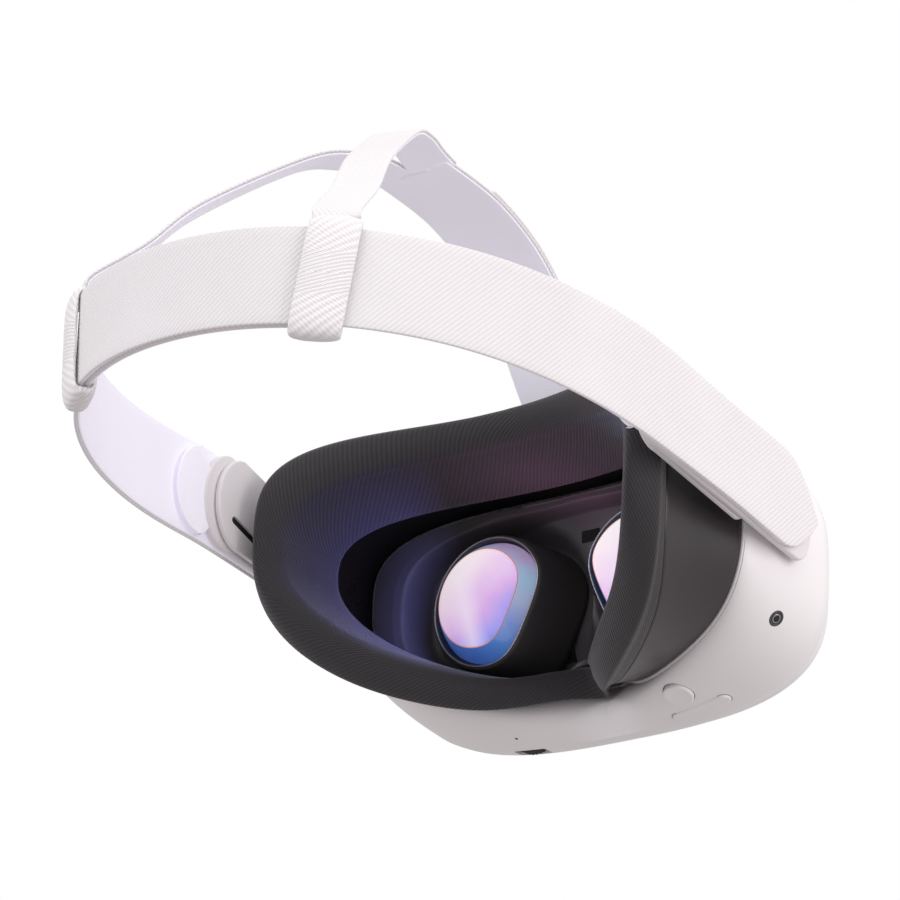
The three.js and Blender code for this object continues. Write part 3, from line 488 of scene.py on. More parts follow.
outer_cup = cup()
edge_rows = [goggle(inset(dict(FRONT_SEAM, rear=-46.3), a, b)) for a, b in
             ((2.4, -0.4), (0.9, 0.0), (0.3, -0.1), (0.03, -0.5))]
front = grid("front_cover", edge_rows + outer_cup[1:], M["white"], "visor", ends="open")


def close_end(obj):
    bm = bmesh.new()
    bm.from_mesh(obj.data)
    edges = [e for e in bm.edges if len(e.link_faces) == 1]
    bmesh.ops.holes_fill(bm, edges=edges, sides=0)
    bmesh.ops.recalc_face_normals(bm, faces=bm.faces)
    for f in bm.faces:
        f.smooth = True
    bm.to_mesh(obj.data)
    bm.free()


close_end(front)
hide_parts("front_shell")


def outline_obround(length, width, n=10, corner=None):
    c = corner or min(length, width) / 2
    a, b = length / 2 - c, width / 2 - c
    pts = []
    for k, (sx, sy) in enumerate(((1, 1), (-1, 1), (-1, -1), (1, -1))):
        for i in range(n + 1):
            t = math.pi / 2 * (k + i / n)
            p = (sx * a + c * math.cos(t), sy * b + c * math.sin(t))
            if not pts or math.dist(p, pts[-1]) > 1e-6:
                pts.append(p)
    if math.dist(pts[0], pts[-1]) < 1e-6:
        pts.pop()
    return np.array(pts)


def shrink(pts, d):
    """Moves an outline inwards by d, keeping its point count."""
    p = np.asarray(pts, float)
    t = np.roll(p, -1, 0) - np.roll(p, 1, 0)
    t /= np.maximum(np.linalg.norm(t, axis=1, keepdims=True), 1e-9)
    return p + d * np.stack([-t[:, 1], t[:, 0]], 1)


def pill(name, outline, place, levels, material, body_name, node=(),
         ends="cap"):
    """Stack of outlines: levels are (inset, height) pairs, place(a, b, h) gives mm."""
    rows = [[place(a, b, h) for a, b in shrink(outline, d)] for d, h in levels]
    obj = grid(name, rows, material, body_name, ends=ends,
               uv_fn=lambda i, j: tuple(outline[j % len(outline)]))
    if node:
        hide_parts(*node)
    return obj


def cast(obj, origin, direction):
    """Distance of the first surface point of obj from origin, in mm."""
    inv = obj.matrix_world.inverted()
    o = inv @ Vector(point(*origin))
    hit, where, normal, _ = obj.ray_cast(o, Vector(direction))
    if not hit:
        return None, None
    w = np.array(obj.matrix_world @ where) / MM - np.array([0, OY, OZ])
    return w, np.array(normal)


bpy.context.view_layer.update()


def window(name, x, length, node):
    base = outline_obround(12, length, 10)

    def place(a, b, h):
        hit, _ = cast(front, (x + a, -80, 2 + b), (0, 1, 0))
        return (x + a, (hit[1] if hit is not None else -63.0) - h, 2 + b)

    pill(name + "_bezel", shrink(base, -0.7), place,
         ((0, -0.6), (0.0, 0.05), (0.3, 0.22), (0.8, 0.05)), M["black_and_shade"], "visor")
    pill(name, base, place, ((0, -0.5), (0.1, 0.1), (0.5, 0.28), (1.8, 0.34), (3.4, 0.36)),
         M["glass"], "visor", (node,))
    for k in (-1, 1):
        spot = outline_obround(5.4, 5.4, 8)
        off = k * (length / 2 - 6.2)
        pill("%s_eye_%d" % (name, k + 1), spot,
             lambda a, b, h, off=off: place(a, b + off, h),
             ((0, 0.1), (0.1, 0.42), (0.5, 0.5), (1.0, 0.46)), M["barrel"], "visor")


window("front_window_left", 52, 27, "camera_window_left")
window("front_window_right", -52, 27, "camera_window_right")
window("front_window_middle", 0, 21, "camera_window_middle")


def on_body(x, y, z, direction):
    hit, normal = cast(body, (x, y, z), direction)
    return hit, normal / np.linalg.norm(normal)


def surface_pill(name, outline, at, along, levels, material, body_name,
                 node=(), conform=True, ends="cap"):
    """Outline laid on the body shell: at is a start point, along the ray towards the shell."""
    hit, nrm = on_body(*at, along)
    n = Vector(nrm)
    seed = Vector((1, 0, 0)) if abs(n.x) < 0.8 else Vector((0, 1, 0))
    ex = (seed - n * seed.dot(n)).normalized()
    ey = n.cross(ex)

    def place(a, b, h):
        p = hit + a * np.array(ex) + b * np.array(ey)
        if conform:
            w, _ = cast(body, tuple(p + 12 * nrm), tuple(-n))
            if w is not None:
                p = w
        return tuple(p + h * nrm)

    return pill(name, outline, place, levels, material, body_name, node, ends)


# Where each control sits: a point outside the shell, and the way to the shell from there.
UPWARD, FROM_LEFT, FROM_RIGHT = (0, 0, 1), (-1, 0, 0), (1, 0, 0)
BUTTON_AT, ROCKER_AT = (-38, -13.5, -90), (-40, -24, -90)
POWER_AT, PORT_AT, JACK_AT = (120, -28, -6), (120, -18, -22), (-120, -9, -24)

round_out = outline_obround(10.4, 10.4, 12)
DISC = ((0, -1.6), (0, 0.55), (0.12, 0.8), (0.4, 0.95), (0.8, 0.97), (1.5, 0.86), (3.0, 0.76),
        (4.8, 0.72))
GROOVE = ((0, -0.3), (0, 0.03), (0.45, 0.03), (0.45, -0.3))
surface_pill("button_cap", round_out, BUTTON_AT, UPWARD, DISC, M["white"], "button",
             ("under_button",), conform=False)
button_well = surface_pill("button_cutter", shrink(round_out, -0.25), BUTTON_AT, UPWARD,
                           ((0, -5.0), (0, 4.0)), M["white"], None, conform=False)
carve(body, button_well)
bar = outline_obround(24, 5.2, 10)
yaw = -0.12
bar = bar @ np.array([[math.cos(yaw), -math.sin(yaw)], [math.sin(yaw), math.cos(yaw)]])
# The grey ring round the rocker is painted shade of the gap between rocker and shell.
surface_pill("rocker_gap", shrink(bar, -0.35), ROCKER_AT, UPWARD, GROOVE,
             M["gap"], "visor", ends="ring")
surface_pill("rocker_bar", bar, ROCKER_AT, UPWARD,
             ((0, -0.6), (0, 0.3), (0.15, 0.55), (0.5, 0.68), (1.2, 0.66), (2.2, 0.6)),
             M["white"], "rocker", ("volume_rocker",))
side_out = outline_obround(13, 4.6, 10)
# The grey ring round the power button is painted shade of its gap.
surface_pill("power_gap", shrink(side_out, -0.35), POWER_AT, FROM_LEFT, GROOVE,
             M["gap"], "visor", ends="ring")
surface_pill("power_cap", side_out, POWER_AT, FROM_LEFT,
             ((0, -0.6), (0, 0.35), (0.15, 0.6), (0.5, 0.75), (1.2, 0.72), (2.0, 0.66)),
             M["white"], "power", ("power_button",))

# Audio jack: a lip, a dark throat and a contact ring; the port on the other side likewise. The
# throats and the jack hole are flat dark discs on the wall, painted shade standing in for the
# depth of the holes.
jack = outline_obround(5.6, 5.6, 12)
surface_pill("jack_lip", jack, JACK_AT, FROM_RIGHT,
             ((0, -0.4), (0, 0.02), (0.12, 0.14), (0.35, 0.2), (0.7, 0.12), (0.85, -0.1)),
             M["barrel"], "visor", ("audio_jack",))
surface_pill("jack_throat", shrink(jack, 0.75), JACK_AT, FROM_RIGHT,
             ((0, -0.3), (0, 0.05), (0.1, 0.07)), M["glass"], "visor")
surface_pill("jack_contact", shrink(jack, 1.25), JACK_AT, FROM_RIGHT,
             ((0, 0.0), (0, 0.1), (0.12, 0.13), (0.35, 0.1)), M["metal"], "visor")
surface_pill("jack_hole", shrink(jack, 1.55), JACK_AT, FROM_RIGHT,
             ((0, 0.0), (0, 0.12), (0.1, 0.14)), M["black_and_shade"], "visor")
port = outline_obround(9.4, 3.4, 10)
surface_pill("port_lip", port, PORT_AT, FROM_LEFT,
             ((0, -0.4), (0, 0.02), (0.12, 0.14), (0.3, 0.18), (0.55, 0.1)),
             M["metal"], "visor", ("charge_port",))
surface_pill("port_throat", shrink(port, 0.5), PORT_AT, FROM_LEFT,
             ((0, -0.3), (0, 0.14), (0.1, 0.16)), M["black_and_shade"], "visor")
surface_pill("port_tongue", outline_obround(6.4, 0.8, 6), PORT_AT, FROM_LEFT,
             ((0, -0.2), (0, 0.2), (0.1, 0.24)), M["seal"], "visor")
# Mic holes: small dark discs on the shell, painted shade standing in for the holes.
for k, (mx, my) in enumerate(((26, -6.5), (33, -19))):
    surface_pill("mic_hole_%d" % k, outline_obround(1.1, 1.1, 6), (mx, my, -90), UPWARD,
                 ((0, -0.3), (0, 0.02), (0.1, 0.03)), M["black_and_shade"], "visor")
slot_line = outline_obround(13.5, 5.0, 8, 1.2)
slot_rows = [[(34 + u, -30 + v, z) for u, v in slot_line] for z in (-53, -40)]
carve(body, grid("wheel_cutter", slot_rows, M["white"], None, ends="cap",
                 uv_fn=lambda i, j: (0, 0)))

# ---------------------------------------------------------------- facial interface
LIP = inset(RIM, 0.5, 0.75)
stations = [goggle(inset(RIM, 5.0, -6)), goggle(inset(RIM, 2.9, -6)),
            goggle(inset(RIM, 2.9, -0.9)), goggle(inset(RIM, 1.0, 0.7))]
sweep = []
for t in np.linspace(0, 1, 26):
    m = mixed(LIP, SEAM, t)
    m["halfWidth"] -= 1.4 * math.sin(math.pi * t)
    sweep.append(goggle(m))
tail = [goggle(inset(SEAM, a, b)) for a, b in
        ((0.12, 0.16), (0.5, 0.22), (1.6, 0.2), (2.2, 0.0), (2.2, -3.0))]
shell = grid("interface_shell", stations + sweep + tail, M["dark"], "interface", ends="ring")
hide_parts("interface_frame")

profile = [
    inset(SEAM, 0.35, 0.35), inset(SEAM, -0.35, 1.1),
    mixed(SEAM, OUTER_PAD, 0.5, 0.7), OUTER_PAD, mixed(OUTER_PAD, CREST, 0.45, 2.0),
    inset(CREST, -0.2, 0.7), mixed(CREST, INNER_CREST, 0.5, 2.0), inset(INNER_CREST, -0.4, 0.4),
    mixed(INNER_CREST, INNER_DEEP, 0.12, -0.6), mixed(INNER_CREST, INNER_DEEP, 0.35, 0.2),
    mixed(INNER_CREST, INNER_DEEP, 0.7, 0.2), INNER_DEEP, inset(INNER_DEEP, -1.2, -1.0),
    mixed(INNER_DEEP, inset(SEAM, 3.6), 0.6, 0.5), inset(SEAM, 3.4, 0.8), inset(SEAM, 1.2, 0.5),
]
pad_rows = spline([goggle(r, 320) for r in profile], 5, True)
cushion = grid("knit_cushion", pad_rows, M["knit"], "interface", ends="ring")
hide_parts("face_cushion")

# Thin shadow bead in the seam between shell and cushion, and between shell and body.
for name, base, push, body_name in (("cushion_seam", inset(SEAM, 0.55), 0.28, "interface"),
                                    ("shell_seam", inset(RIM, 1.6), 0.35, "visor")):
    loop = []
    for a in np.linspace(0, 2 * np.pi, 8, endpoint=False):
        loop.append(goggle(inset(base, 0.42 * math.cos(a), push + 0.28 * math.sin(a))))
    seam = grid(name, loop, M["black_and_shade"], body_name, ends="ring")

# ---------------------------------------------------------------- optics
SPACING, LR, CUT, CUT_A = 63.5, 21.6, 17.6, math.radians(206)


def lens_line(r, s, y, n=96):
    """Lens outline of radius r at depth y: a circle with one flattened, nasal side."""
    cut = CUT + (r - LR)
    t = 2 * np.pi * np.arange(n) / n
    facing = np.maximum(0, np.cos(t - CUT_A))
    k = (r ** -9.0 + (facing / cut) ** 9) ** (-1 / 9)
    c = s * SPACING / 2
    return np.stack([c + s * k * np.cos(t), np.full(n, y), k * np.sin(t)], 1)


def scaled(r, k, s, y):
    p = lens_line(r, s, y)
    c = np.array([s * SPACING / 2, y, 0])
    return c + (p - c) * np.array([k, 1, k])


def bezel_height(x, z, k):
    """Depth of the moulded inner face: ledge, plateau, a dish round each barrel, nose ramp."""
    d = np.minimum(np.hypot(x - SPACING / 2, z), np.hypot(x + SPACING / 2, z)) - (LR + 3.4)
    edge = -8.5 + 8 * np.abs(x / 76) ** 2.2
    plate = -15.8 + 3.0 * np.abs(x / 76) ** 2
    y = edge + (plate - edge) * ease(1 - k, 0.06, 0.13)
    dish = 1 - ease(d, 0.0, 8.5)
    y = y - 9.5 * dish
    ridge = np.exp(-(x / 8.0) ** 2) * ease(np.abs(z + 2), 4, 26)
    y = y + 1.0 * ridge * (z > 0)
    ramp = np.exp(-np.abs(x) / 15.0) * ease(-z, 4, 27)
    return y - 19.0 * ramp


edge_ring = goggle(inset(RIM, 6.2, -9))
wall = goggle(inset(RIM, 6.0, -5.5))
rows = [wall]
K = np.concatenate([np.linspace(1.0, 0.8, 26), np.linspace(0.79, 0.02, 64)])
for k in K:
    x, z = edge_ring[:, 0] * k, 2 + (edge_ring[:, 2] - 2) * k
    rows.append(np.stack([x, bezel_height(x, z, k), z], 1))
back = [np.stack([edge_ring[:, 0] * k, np.full(N, -38.5 + 6 * k), 2 + (edge_ring[:, 2] - 2) * k],
                 1) for k in (0.02, 0.5, 0.9)]
moulding = grid("inner_moulding_face", rows + back, M["inner"], "visor", ends="ring")
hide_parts("inner_bezel")

for side, s in (("left", 1), ("right", -1)):
    optics = "optics_" + side
    prof = [(LR + 3.9, -25), (LR + 3.7, -16), (LR + 3.0, -6), (LR + 2.3, -1.4), (LR + 2.0, -0.3),
            (LR + 1.4, 0.35), (LR + 0.9, 0.3), (LR + 0.55, -0.3), (LR + 0.5, -1.6),
            (LR + 0.3, -4.0), (LR - 2.0, -5.0), (LR - 2.0, -25)]
    tube = grid("barrel_" + side, spline([lens_line(r, s, y) for r, y in prof], 3, False),
                M["barrel"], optics, ends="ring")
    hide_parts("lens_barrel_" + side)
    loop = [lens_line(LR + 1.15 + 0.3 * math.cos(a), s, 0.42 + 0.3 * math.sin(a))
            for a in np.linspace(0, 2 * np.pi, 10, endpoint=False)]
    trim = grid("lens_ring_" + side, loop, M["ring"], optics, ends="ring")

    def disc(name, levels, material, node=()):
        pts = spline([scaled(LR, k, s, y) for k, y in levels], 4)
        c = s * SPACING / 2

        def uv(i, j):
            q = pts[i % len(pts), j % pts.shape[1]]
            return ((q[0] - c) / LR, q[2] / LR)

        obj = grid(name, pts, material, optics, ends="cap", uv_fn=uv)
        if node:
            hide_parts(*node)
        return obj

    disc("lens_flank_" + side, ((0.98, -3.2), (0.985, -1.6), (0.955, 0.0), (0.90, 2.4),
                                (0.835, 4.4), (0.805, 4.9), (0.73, 4.8)), M["flank"])
    disc("lens_element_" + side, ((0.80, 3.2), (0.80, 4.95), (0.775, 5.35), (0.6, 5.9),
                                  (0.4, 6.35), (0.2, 6.6), (0.03, 6.65)), M["lens"],
         ("lens_" + side,))
    loop = [scaled(LR, 0.807 + 0.010 * math.cos(a), s, 5.0 + 0.2 * math.sin(a))
            for a in np.linspace(0, 2 * np.pi, 8, endpoint=False)]
    glow = grid("lens_edge_" + side, loop, M["arc"], optics, ends="ring")

# ---------------------------------------------------------------- head strap
HALF_W, STRAIGHT, REAR, PITCH, LIFT, THICK = 90.3, 92.0, 202.0, 0.07, 20.0, 2.0
LOOP_A = math.radians(58)      # where the sleeves sit on the rear curve


def strap_point(a, s, out):
    x = HALF_W * spow(math.cos(a), 0.96)
    span = REAR - STRAIGHT
    y = STRAIGHT + span * spow(math.sin(a), 0.96)
    nx, ny = math.cos(a) / HALF_W, math.sin(a) / span
    k = math.hypot(nx, ny)
    return (np.array([s * (x + out * nx / k), y + out * ny / k, 0.0]),
            np.array([s * nx / k, ny / k, 0.0]))


def strap_half(y):
    return 18.3 + (15.8 - 18.3) * float(np.clip(y / REAR, 0, 1))


def strap_z(y):
    ahead = max(0.0, 86.0 - y)
    return LIFT + PITCH * y - 0.13 * ahead ** 2 / (ahead + 18)


def section(half, lo, hi, n=13, rad=0.55):
    """Closed outline (across, through) of a band from depth lo to hi with rounded edges."""
    r = min(rad, (hi - lo) / 2)
    pts = [(a, hi) for a in np.linspace(half - r, -half + r, n)]
    pts += [(-half + r - r * math.sin(t), hi - r + r * math.cos(t)) for t in (0.5, 1.0, 1.4)]
    pts += [(-half + r - r * math.cos(t), lo + r - r * math.sin(t)) for t in (0.2, 0.6, 1.1)]
    pts += [(a, lo) for a in np.linspace(-half + r, half - r, n)]
    pts += [(half - r + r * math.sin(t), lo + r - r * math.cos(t)) for t in (0.5, 1.0, 1.4)]
    pts += [(half - r + r * math.cos(t), hi - r + r * math.sin(t)) for t in (0.2, 0.6, 1.1)]
    return pts


def band(name, path, lo, hi, material, bodies, node=(), slot_name="webbing", trim=0.0):
    """path: list of (centre, normal, up, half width). The band lies lo..hi along the normal."""
    rows, across = [], []
    for c, n, u, h in path:
        sec = section(h - trim, lo, hi)
        rows.append([c + a * u + b * n for a, b in sec])
        across.append([a for a, b in sec])
    length = np.concatenate([[0], np.cumsum([np.linalg.norm(path[i + 1][0] - path[i][0])
                                              for i in range(len(path) - 1)])])
    count = len(rows[0])
    obj = grid(name, rows, material, bodies if isinstance(bodies, str) else None, ends="cap",
               uv_fn=lambda i, j: (length[min(i, len(length) - 1)], across[min(i, len(across) - 1)]
                                   [j % count]))
    if node:
        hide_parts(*node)
    return obj


UP = np.array([0.0, 0.0, 1.0])
FAR_END = math.pi - LOOP_A - math.radians(3)
LAYER = THICK / 2 + 0.2


# The front end narrows to a blunt, low tip.
TIP_START, TIP_LENGTH, TIP_TOP, TIP_BOTTOM = 6, 20.4, 16.5, 16.2


def strap_path(s, target):
    """One strap layer: straight along the head, then round the back, out by target mm."""
    path = []
    base = THICK / 2
    ys = np.concatenate([[-14.2, -14.1, -13.8, -13.3, -12.6],
                         np.linspace(-11.5, STRAIGHT - 1.5, 60)])
    for y in ys:
        u = max(0.0, TIP_START - y) / TIP_LENGTH
        lower, raised = TIP_TOP * u ** 2.2, TIP_BOTTOM * u ** 2
        half = strap_half(y) - 1.6 * float(ease(86 - y, 0, 60)) - (lower + raised) / 2
        half = max(half, 0.9)
        c = np.array([s * (HALF_W + base), y, strap_z(y) + (raised - lower) / 2])
        path.append((c, np.array([s, 0.0, 0.0]), UP, half))
    for a in np.linspace(0, FAR_END, 120):
        mixv = float(ease(a, LOOP_A - 0.9, LOOP_A - 0.25))
        p, n = strap_point(a, s, base + (target - base) * mixv)
        p[2] = strap_z(p[1])
        path.append((p, n, UP, strap_half(p[1])))
    return path


for side, s, layer in (("right", -1, LAYER), ("left", 1, -LAYER)):
    path = strap_path(s, THICK / 2 + layer)
    band("strap_outer_" + side, path, -0.2, 1.0, M["web"], "strap", ("strap_" + side,))
    band("strap_lining_" + side, path, -1.0, -0.26, M["lining"], "strap", trim=0.55)


LEAN = 0.145                   # forward lean of the sleeves
SLEEVE_HALF, CURVE_RADIUS = 8, 97


def loop_rows(s, extra, thick, puffing, soft):
    """Sections round a sleeve: pillowy outside, or the plain hollow for the straps."""
    rows = []
    _, n0 = strap_point(LOOP_A, s, 0)
    lean = UP + LEAN * np.array([s * n0[1], -abs(n0[0]), 0.0])
    for t in np.linspace(-1, 1, 33):
        a = LOOP_A + t * SLEEVE_HALF / CURVE_RADIUS
        puff = (1 - abs(t) ** 2.6) ** 0.7 if puffing else 0.0
        p, n = strap_point(a, s, THICK / 2)
        c = p.copy()
        c[2] = strap_z(p[1])
        half = strap_half(p[1]) + extra + 1.3 * puff * puffing
        th = thick / 2 + puffing * puff * 1.25
        q = 2 * np.pi * np.arange(112) / 112
        ca, sa = spow(np.cos(q), 0.62 if soft else 0.3), spow(np.sin(q), 0.36 if soft else 0.2)
        rows.append(c + np.outer(th * ca, n) + np.outer(half * sa, lean))
    return rows


for side, s in (("left", 1), ("right", -1)):
    outer = loop_rows(s, 2.6, 7.6, 1.0, True)
    inner = loop_rows(s, 0.9, 6.1, 0.0, False)[::-1]
    sleeve = grid("sleeve_" + side, outer + inner, M["sleeve"], "loop_" + side, ends="ring")
    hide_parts("slider_loop_" + side)

# ---------------------------------------------------------------- top strap
ARCH = np.array([(0, -8, 50.2), (0, 6, 67), (0, 30, 98.5), (0, 57, 113.5), (0, 88, 118.5)], float)


def curve_path(points, half, w0, w1, steps):
    """Band stations along a curve; the width direction turns from w0 to w1."""
    P = spline(points, 14)
    d = np.concatenate([[0], np.cumsum(np.linalg.norm(np.diff(P, axis=0), axis=1))])
    t = np.linspace(0, d[-1], steps)
    C = np.stack([np.interp(t, d, P[:, k]) for k in range(3)], 1)
    T = np.gradient(C, axis=0)
    T /= np.linalg.norm(T, axis=1, keepdims=True)
    out = []
    for i, (c, tan) in enumerate(zip(C, T)):
        f = i / (steps - 1)
        w = np.asarray(w0, float) * (1 - ease(f, 0, 1)) + np.asarray(w1, float) * ease(f, 0, 1)
        w = w - tan * w.dot(tan)
        w /= np.linalg.norm(w)
        n = np.cross(w, tan)
        if n[2] < 0 and abs(n[2]) > 0.3:
            n = -n
        out.append((c, n, w, half(f)))
    return out


def oriented(path, reference):
    """Turns each normal to the outside of the head, away from the reference point."""
    fixed = []
    for c, n, w, h in path:
        if n.dot(c - np.asarray(reference)) < 0:
            n = -n
        fixed.append((c, n, w, h))
    return fixed


HEAD = (0.0, 95.0, 25.0)
main = oriented(curve_path(ARCH, lambda f: 15.5, (1, 0, 0), (1, 0, 0), 70), HEAD)
start, end = point(0, -4, 54), point(0, 30, 98)
top = band("top_strap_outer", main, -0.1, 0.9, M["web"], None, ("top_strap",))
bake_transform(top)
top_in = band("top_strap_lining", main, -0.9, -0.16, M["lining"], None, trim=0.5)
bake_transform(top_in)
fold = [(c + 1.9 * n, n, w, h - 0.3) for c, n, w, h in main[13:56]]
tail_band = band("top_strap_fold", fold, -0.55, 0.55, M["web"], None, ("top_strap_tail",))
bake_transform(tail_band)

loop_p, loop_n = strap_point(LOOP_A, 1, THICK / 2)
for side, s in (("left", 1), ("right", -1)):
    rise = LEAN * (strap_half(loop_p[1]) + 3)
    ex, ey = s * (loop_p[0] + rise * loop_n[1]), loop_p[1] - rise * loop_n[0]
    ez = strap_z(ey) + strap_half(ey) + 2.4
    pts = np.array([(s * 7.6, 86.0, 118.3), (s * 9.5, 95, 119.6), (s * 14, 106, 119.4),
                    (s * 21, 121, 113.5), (s * 36, 152, 89.5), (s * 44, 168, 71),
                    (ex - s * 1.0, ey - 1.2, ez + 5), (ex, ey, ez)], float)
    tangent = (-loop_n[1] * s, loop_n[0], 0.0)
    w0 = (1.0, -0.35 * s, 0.0)
    w1 = tuple(-v * s for v in tangent)

    def half(f):
        return 8.6 - 1.2 * float(ease(f, 0, 0.3))

    path = oriented(curve_path(pts, half, w0, w1, 84), HEAD)
    for name, lo, hi, mat, trim in (("branch_outer_", -0.1, 0.9, M["web"], 0.0),
                                    ("branch_lining_", -0.9, -0.16, M["lining"], 0.5)):
        piece = band(name + side, path, lo, hi, mat, None,
                     ("strap_branch_" + side,) if trim == 0.0 else (), trim=trim)
        point(s * 44, 150, 88)
        point(ex, ey - 1, ez + 3)
        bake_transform(piece)

# ---------------------------------------------------------------- side arms
def arm_outline(y0, y1, h0, h1, n=22):
    """Side view of an arm from y0 to y1, with half heights h0 and h1 at its rounded ends."""
    pts = []
    z0 = strap_z(y0) - (18.3 - h0) * 0.35
    z1 = strap_z(y1) - 1
    for i in range(n + 1):
        t = math.pi / 2 + math.pi * i / n
        pts.append((y0 + h0 * 0.6 + h0 * 0.6 * math.cos(t), z0 + h0 * math.sin(t)))
    for i in range(n + 1):
        t = -math.pi / 2 + math.pi * i / n
        pts.append((y1 - h1 * 0.75 + h1 * 0.75 * math.cos(t), z1 + h1 * math.sin(t)))
    return np.array(pts)


def plate(name, outline, s, x0, x1, r, material, body_name, node=(), slot_name="shell"):
    """Plate from x0 (inner) to x1 (outer) whose edges are rounded by r."""
    out = []
    for t in np.linspace(0, math.pi / 2, 5):
        out.append((r * (1 - math.sin(t)), x0 + r * (1 - math.cos(t))))
    for t in np.linspace(0, math.pi / 2, 5):
        out.append((r * (1 - math.cos(t)), x1 - r * (1 - math.sin(t))))
    rows = [[(s * x, y, z) for y, z in shrink(outline, d)] for d, x in out]
    obj = grid(name, rows, material, body_name, ends="cap",
               uv_fn=lambda i, j: tuple(outline[j % len(outline)]))
    if node:
        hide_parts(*node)
    return obj


SLOT = {"y": 65, "z": 15.8, "length": 16.5, "width": 2.8, "tilt": 0.38}
for side, s in (("left", 1), ("right", -1)):
    plate("arm_" + side, arm_outline(-14, 84, 12.5, 17), s, 87.3, 89.9, 0.9, M["arm"], "strap",
          ("side_arm_" + side,))
    pad = plate("arm_inner_" + side, arm_outline(16, 79.6, 13, 16.4), s, 84.8, 87.05, 0.8,
                M["arm"], "strap", ("arm_cover_" + side,))
    line = outline_obround(SLOT["length"], SLOT["width"], 8)
    c, d = math.cos(SLOT["tilt"]), math.sin(SLOT["tilt"])
    line = np.array([(SLOT["y"] + a * c - b * d, SLOT["z"] + a * d + b * c) for a, b in line])
    cutter = grid("slot_cutter_" + side, [[(s * x, y, z) for y, z in line] for x in (83, 86.4)],
                  M["black_and_shade"], "strap", ends="cap", uv_fn=lambda i, j: (0, 0))
    carve(pad, cutter)
    plate("speaker_face_" + side, shrink(line, 0.05), s, 85.6, 86.3, 0.1, M["black_and_shade"],
          "strap", (), "dark_plastic")
    tab = arm_outline(78, 97, 14.5, 15.6)
    plate("tab_" + side, tab, s, 87.9, 88.9, 0.45, M["lining"], "strap", ("strap_tab_" + side,),
          "webbing")

# ---------------------------------------------------------------- carried-over nodes
COAT = {
    "arm_pivot_left": "metal", "arm_pivot_right": "metal", "guide_rail": "metal",
    "rack_left": "metal", "rack_right": "metal", "ipd_pinion": "metal", "ipd_wheel": "seal",
    "display_left": "glass", "display_right": "glass", "proximity_sensor": "glass",
    "main_board": "board", "heat_sink": "copper", "battery": "cell", "fan_housing": "seal",
    "fan_rotor": "barrel", "speaker_left": "black_and_shade", "speaker_right": "black_and_shade",
    "top_bracket": "seal",
}
for node, key in COAT.items():
    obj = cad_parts[node]
    for item in obj.material_slots:
        item.material = M[key]
    soft = obj.modifiers.new("edge", "BEVEL")
    soft.width = 0.00025
    soft.segments = 2
    soft.limit_method = "ANGLE"

# ---------------------------------------------------------------- stage, light, camera
def floor_material():
    """Pale matt floor that is clear from below."""
    n = Nodes("pale_floor", Roughness=0.8, Emission_Color=(0.9, 0.9, 0.9, 1.0),
              Emission_Strength=0.22)
    c = n.coord()
    base = n.mix(n.noise(c, 3.0), (0.86, 0.855, 0.855), (0.89, 0.885, 0.885))
    n.done(base)
    clear = n.add("ShaderNodeBsdfTransparent")
    mixer = n.add("ShaderNodeMixShader")
    geo = n.add("ShaderNodeNewGeometry")
    n.link(geo.outputs["Backfacing"], mixer.inputs[0])
    n.link(n.b.outputs[0], mixer.inputs[1])
    n.link(clear.outputs[0], mixer.inputs[2])
    n.link(mixer.outputs[0], n.t.nodes["Material Output"].inputs[0])
    return n.mat


floor_mesh = bpy.data.meshes.new("floor")
HALF, LEVEL = 4.0, -0.0006     # metres: half the floor's side, and its height
corners = [(a * HALF, b * HALF, LEVEL) for a, b in ((-1, -1), (1, -1), (1, 1), (-1, 1))]
floor_mesh.from_pydata(corners, [], [(0, 1, 2, 3)])
floor_mesh.materials.append(floor_material())
floor = bpy.data.objects.new("floor", floor_mesh)
bpy.context.scene.collection.objects.link(floor)
floor.visible_diffuse = False
floor.visible_glossy = False
floor.visible_shadow = False

world = bpy.data.worlds.new("studio")
bpy.context.scene.world = world
world.use_nodes = True
wt = world.node_tree
bg = wt.nodes["Background"]
coords = wt.nodes.new("ShaderNodeTexCoord")
parts = wt.nodes.new("ShaderNodeSeparateXYZ")
wt.links.new(coords.outputs["Generated"], parts.inputs[0])
grade = wt.nodes.new("ShaderNodeValToRGB")
e = grade.color_ramp.elements
e[0].position, e[0].color = 0.25, (0.64, 0.60, 0.61, 1)
e[1].position, e[1].color = 0.80, (0.93, 0.92, 0.93, 1)
shift = wt.nodes.new("ShaderNodeMath")
shift.operation = "MULTIPLY_ADD"
shift.inputs[1].default_value = 0.5
shift.inputs[2].default_value = 0.5
wt.links.new(parts.outputs[2], shift.inputs[0])
wt.links.new(shift.outputs[0], grade.inputs[0])
path_node = wt.nodes.new("ShaderNodeLightPath")
white = wt.nodes.new("ShaderNodeBackground")
white.inputs[0].default_value = (1, 1, 1, 1)
blend_bg = wt.nodes.new("ShaderNodeMixShader")
wt.links.new(grade.outputs[0], bg.inputs[0])
wt.links.new(path_node.outputs["Is Camera Ray"], blend_bg.inputs[0])
wt.links.new(bg.outputs[0], blend_bg.inputs[1])
wt.links.new(white.outputs[0], blend_bg.inputs[2])
wt.links.new(blend_bg.outputs[0], wt.nodes["World Output"].inputs[0])
bg.inputs[1].default_value = 0.86


lit_by_glow = bpy.data.collections.new("lit_by_glow")
for item in (cushion, moulding):
    lit_by_glow.objects.link(item)


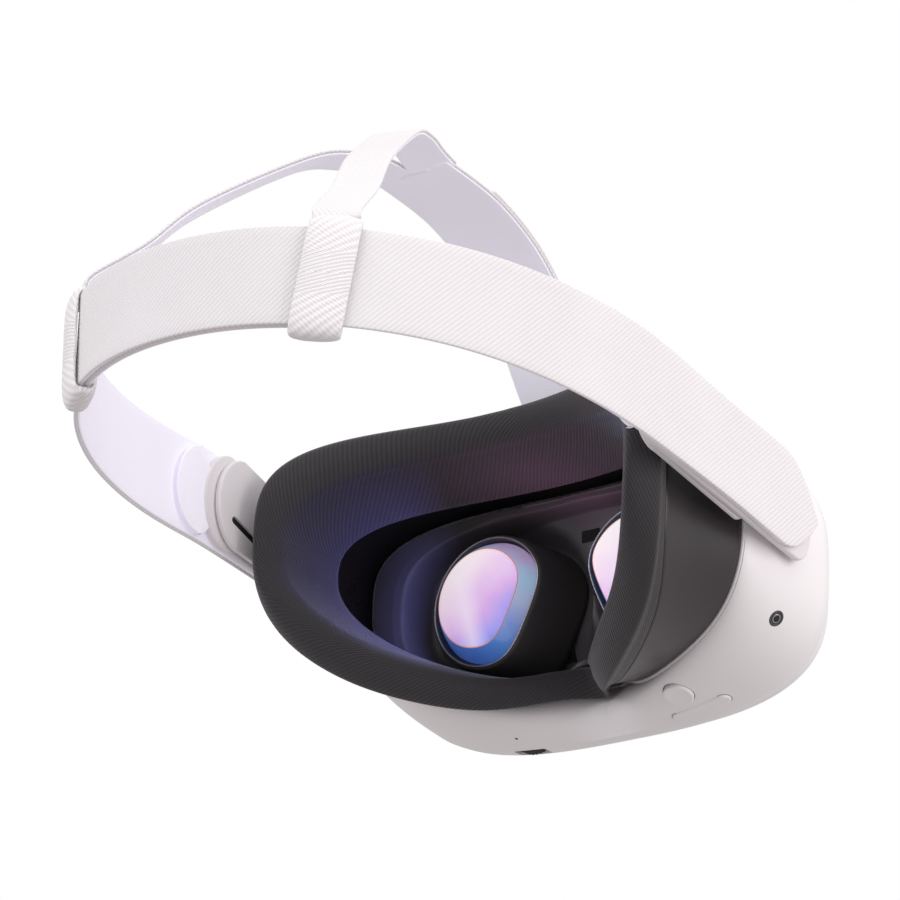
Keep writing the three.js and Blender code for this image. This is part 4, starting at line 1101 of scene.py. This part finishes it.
def softbox(name, at, target, size, power, colour=(1, 1, 1)):
    data = bpy.data.lights.new(name, "AREA")
    data.shape = "RECTANGLE"
    data.size, data.size_y = size
    data.energy = power
    data.color = colour
    obj = bpy.data.objects.new(name, data)
    bpy.context.scene.collection.objects.link(obj)
    obj.location = at
    obj.visible_glossy = size[0] > 0.1
    if size[0] < 0.1:
        obj.light_linking.receiver_collection = lit_by_glow
    aim = Vector(target) - Vector(at)
    obj.rotation_euler = aim.to_track_quat("-Z", "Y").to_euler()
    return obj


mid = (0, 0, 0.06)
softbox("key", (-0.5, 0.5, 1.3), mid, (1.1, 1.1), 5.5)
softbox("side", (-1.2, -0.1, 0.15), mid, (0.5, 0.9), 6.5, (1.0, 0.95, 0.97))
softbox("rear", (0.3, 1.3, 0.4), mid, (0.8, 0.5), 6.0, (0.96, 0.95, 1.0))
# Glow that the lit displays throw on the cushion.
softbox("glow_blue", point(38, 12, 0), point(72, 30, -2), (0.03, 0.03), 0.05, (0.28, 0.28, 1.0))
softbox("glow_pink", point(0, 8, 12), point(-6, 20, 40), (0.04, 0.01), 0.010, (1.0, 0.42, 0.8))
softbox("glow_low", point(26, 14, -8), point(34, 20, -34), (0.03, 0.01), 0.008, (0.2, 0.4, 1.0))
softbox("glow_right", point(-44, 12, 0), point(-66, 36, -8), (0.012, 0.012), 0.035,
        (0.3, 0.5, 1.0))

bpy.context.scene.view_settings.view_transform = "Standard"

AZ, EL, ROLL = math.radians(38.77), math.radians(-20.93), math.radians(1.82)
EYE = (-810.4, 1072.0, -466.7)
toward = np.array([-math.sin(AZ) * math.cos(EL), math.cos(AZ) * math.cos(EL), math.sin(EL)])
fwd = -toward
right = np.cross(fwd, UP)
right /= np.linalg.norm(right)
upv = np.cross(right, fwd)
cr, sr = math.cos(ROLL), math.sin(ROLL)
R = np.array([cr * right + sr * upv, -sr * right + cr * upv, fwd])
eye = point(*EYE)
cam_data = bpy.data.cameras.new("camera")
cam_data.sensor_width = 36.0
cam_data.lens = 170.0
cam_data.clip_end = 20.0
cam = bpy.data.objects.new("camera", cam_data)
bpy.context.scene.collection.objects.link(cam)
m = Matrix.Identity(4)
for i in range(3):
    m[i][0], m[i][1], m[i][2], m[i][3] = R[0][i], R[1][i], -R[2][i], eye[i]
cam.matrix_world = m
bpy.context.scene.camera = cam
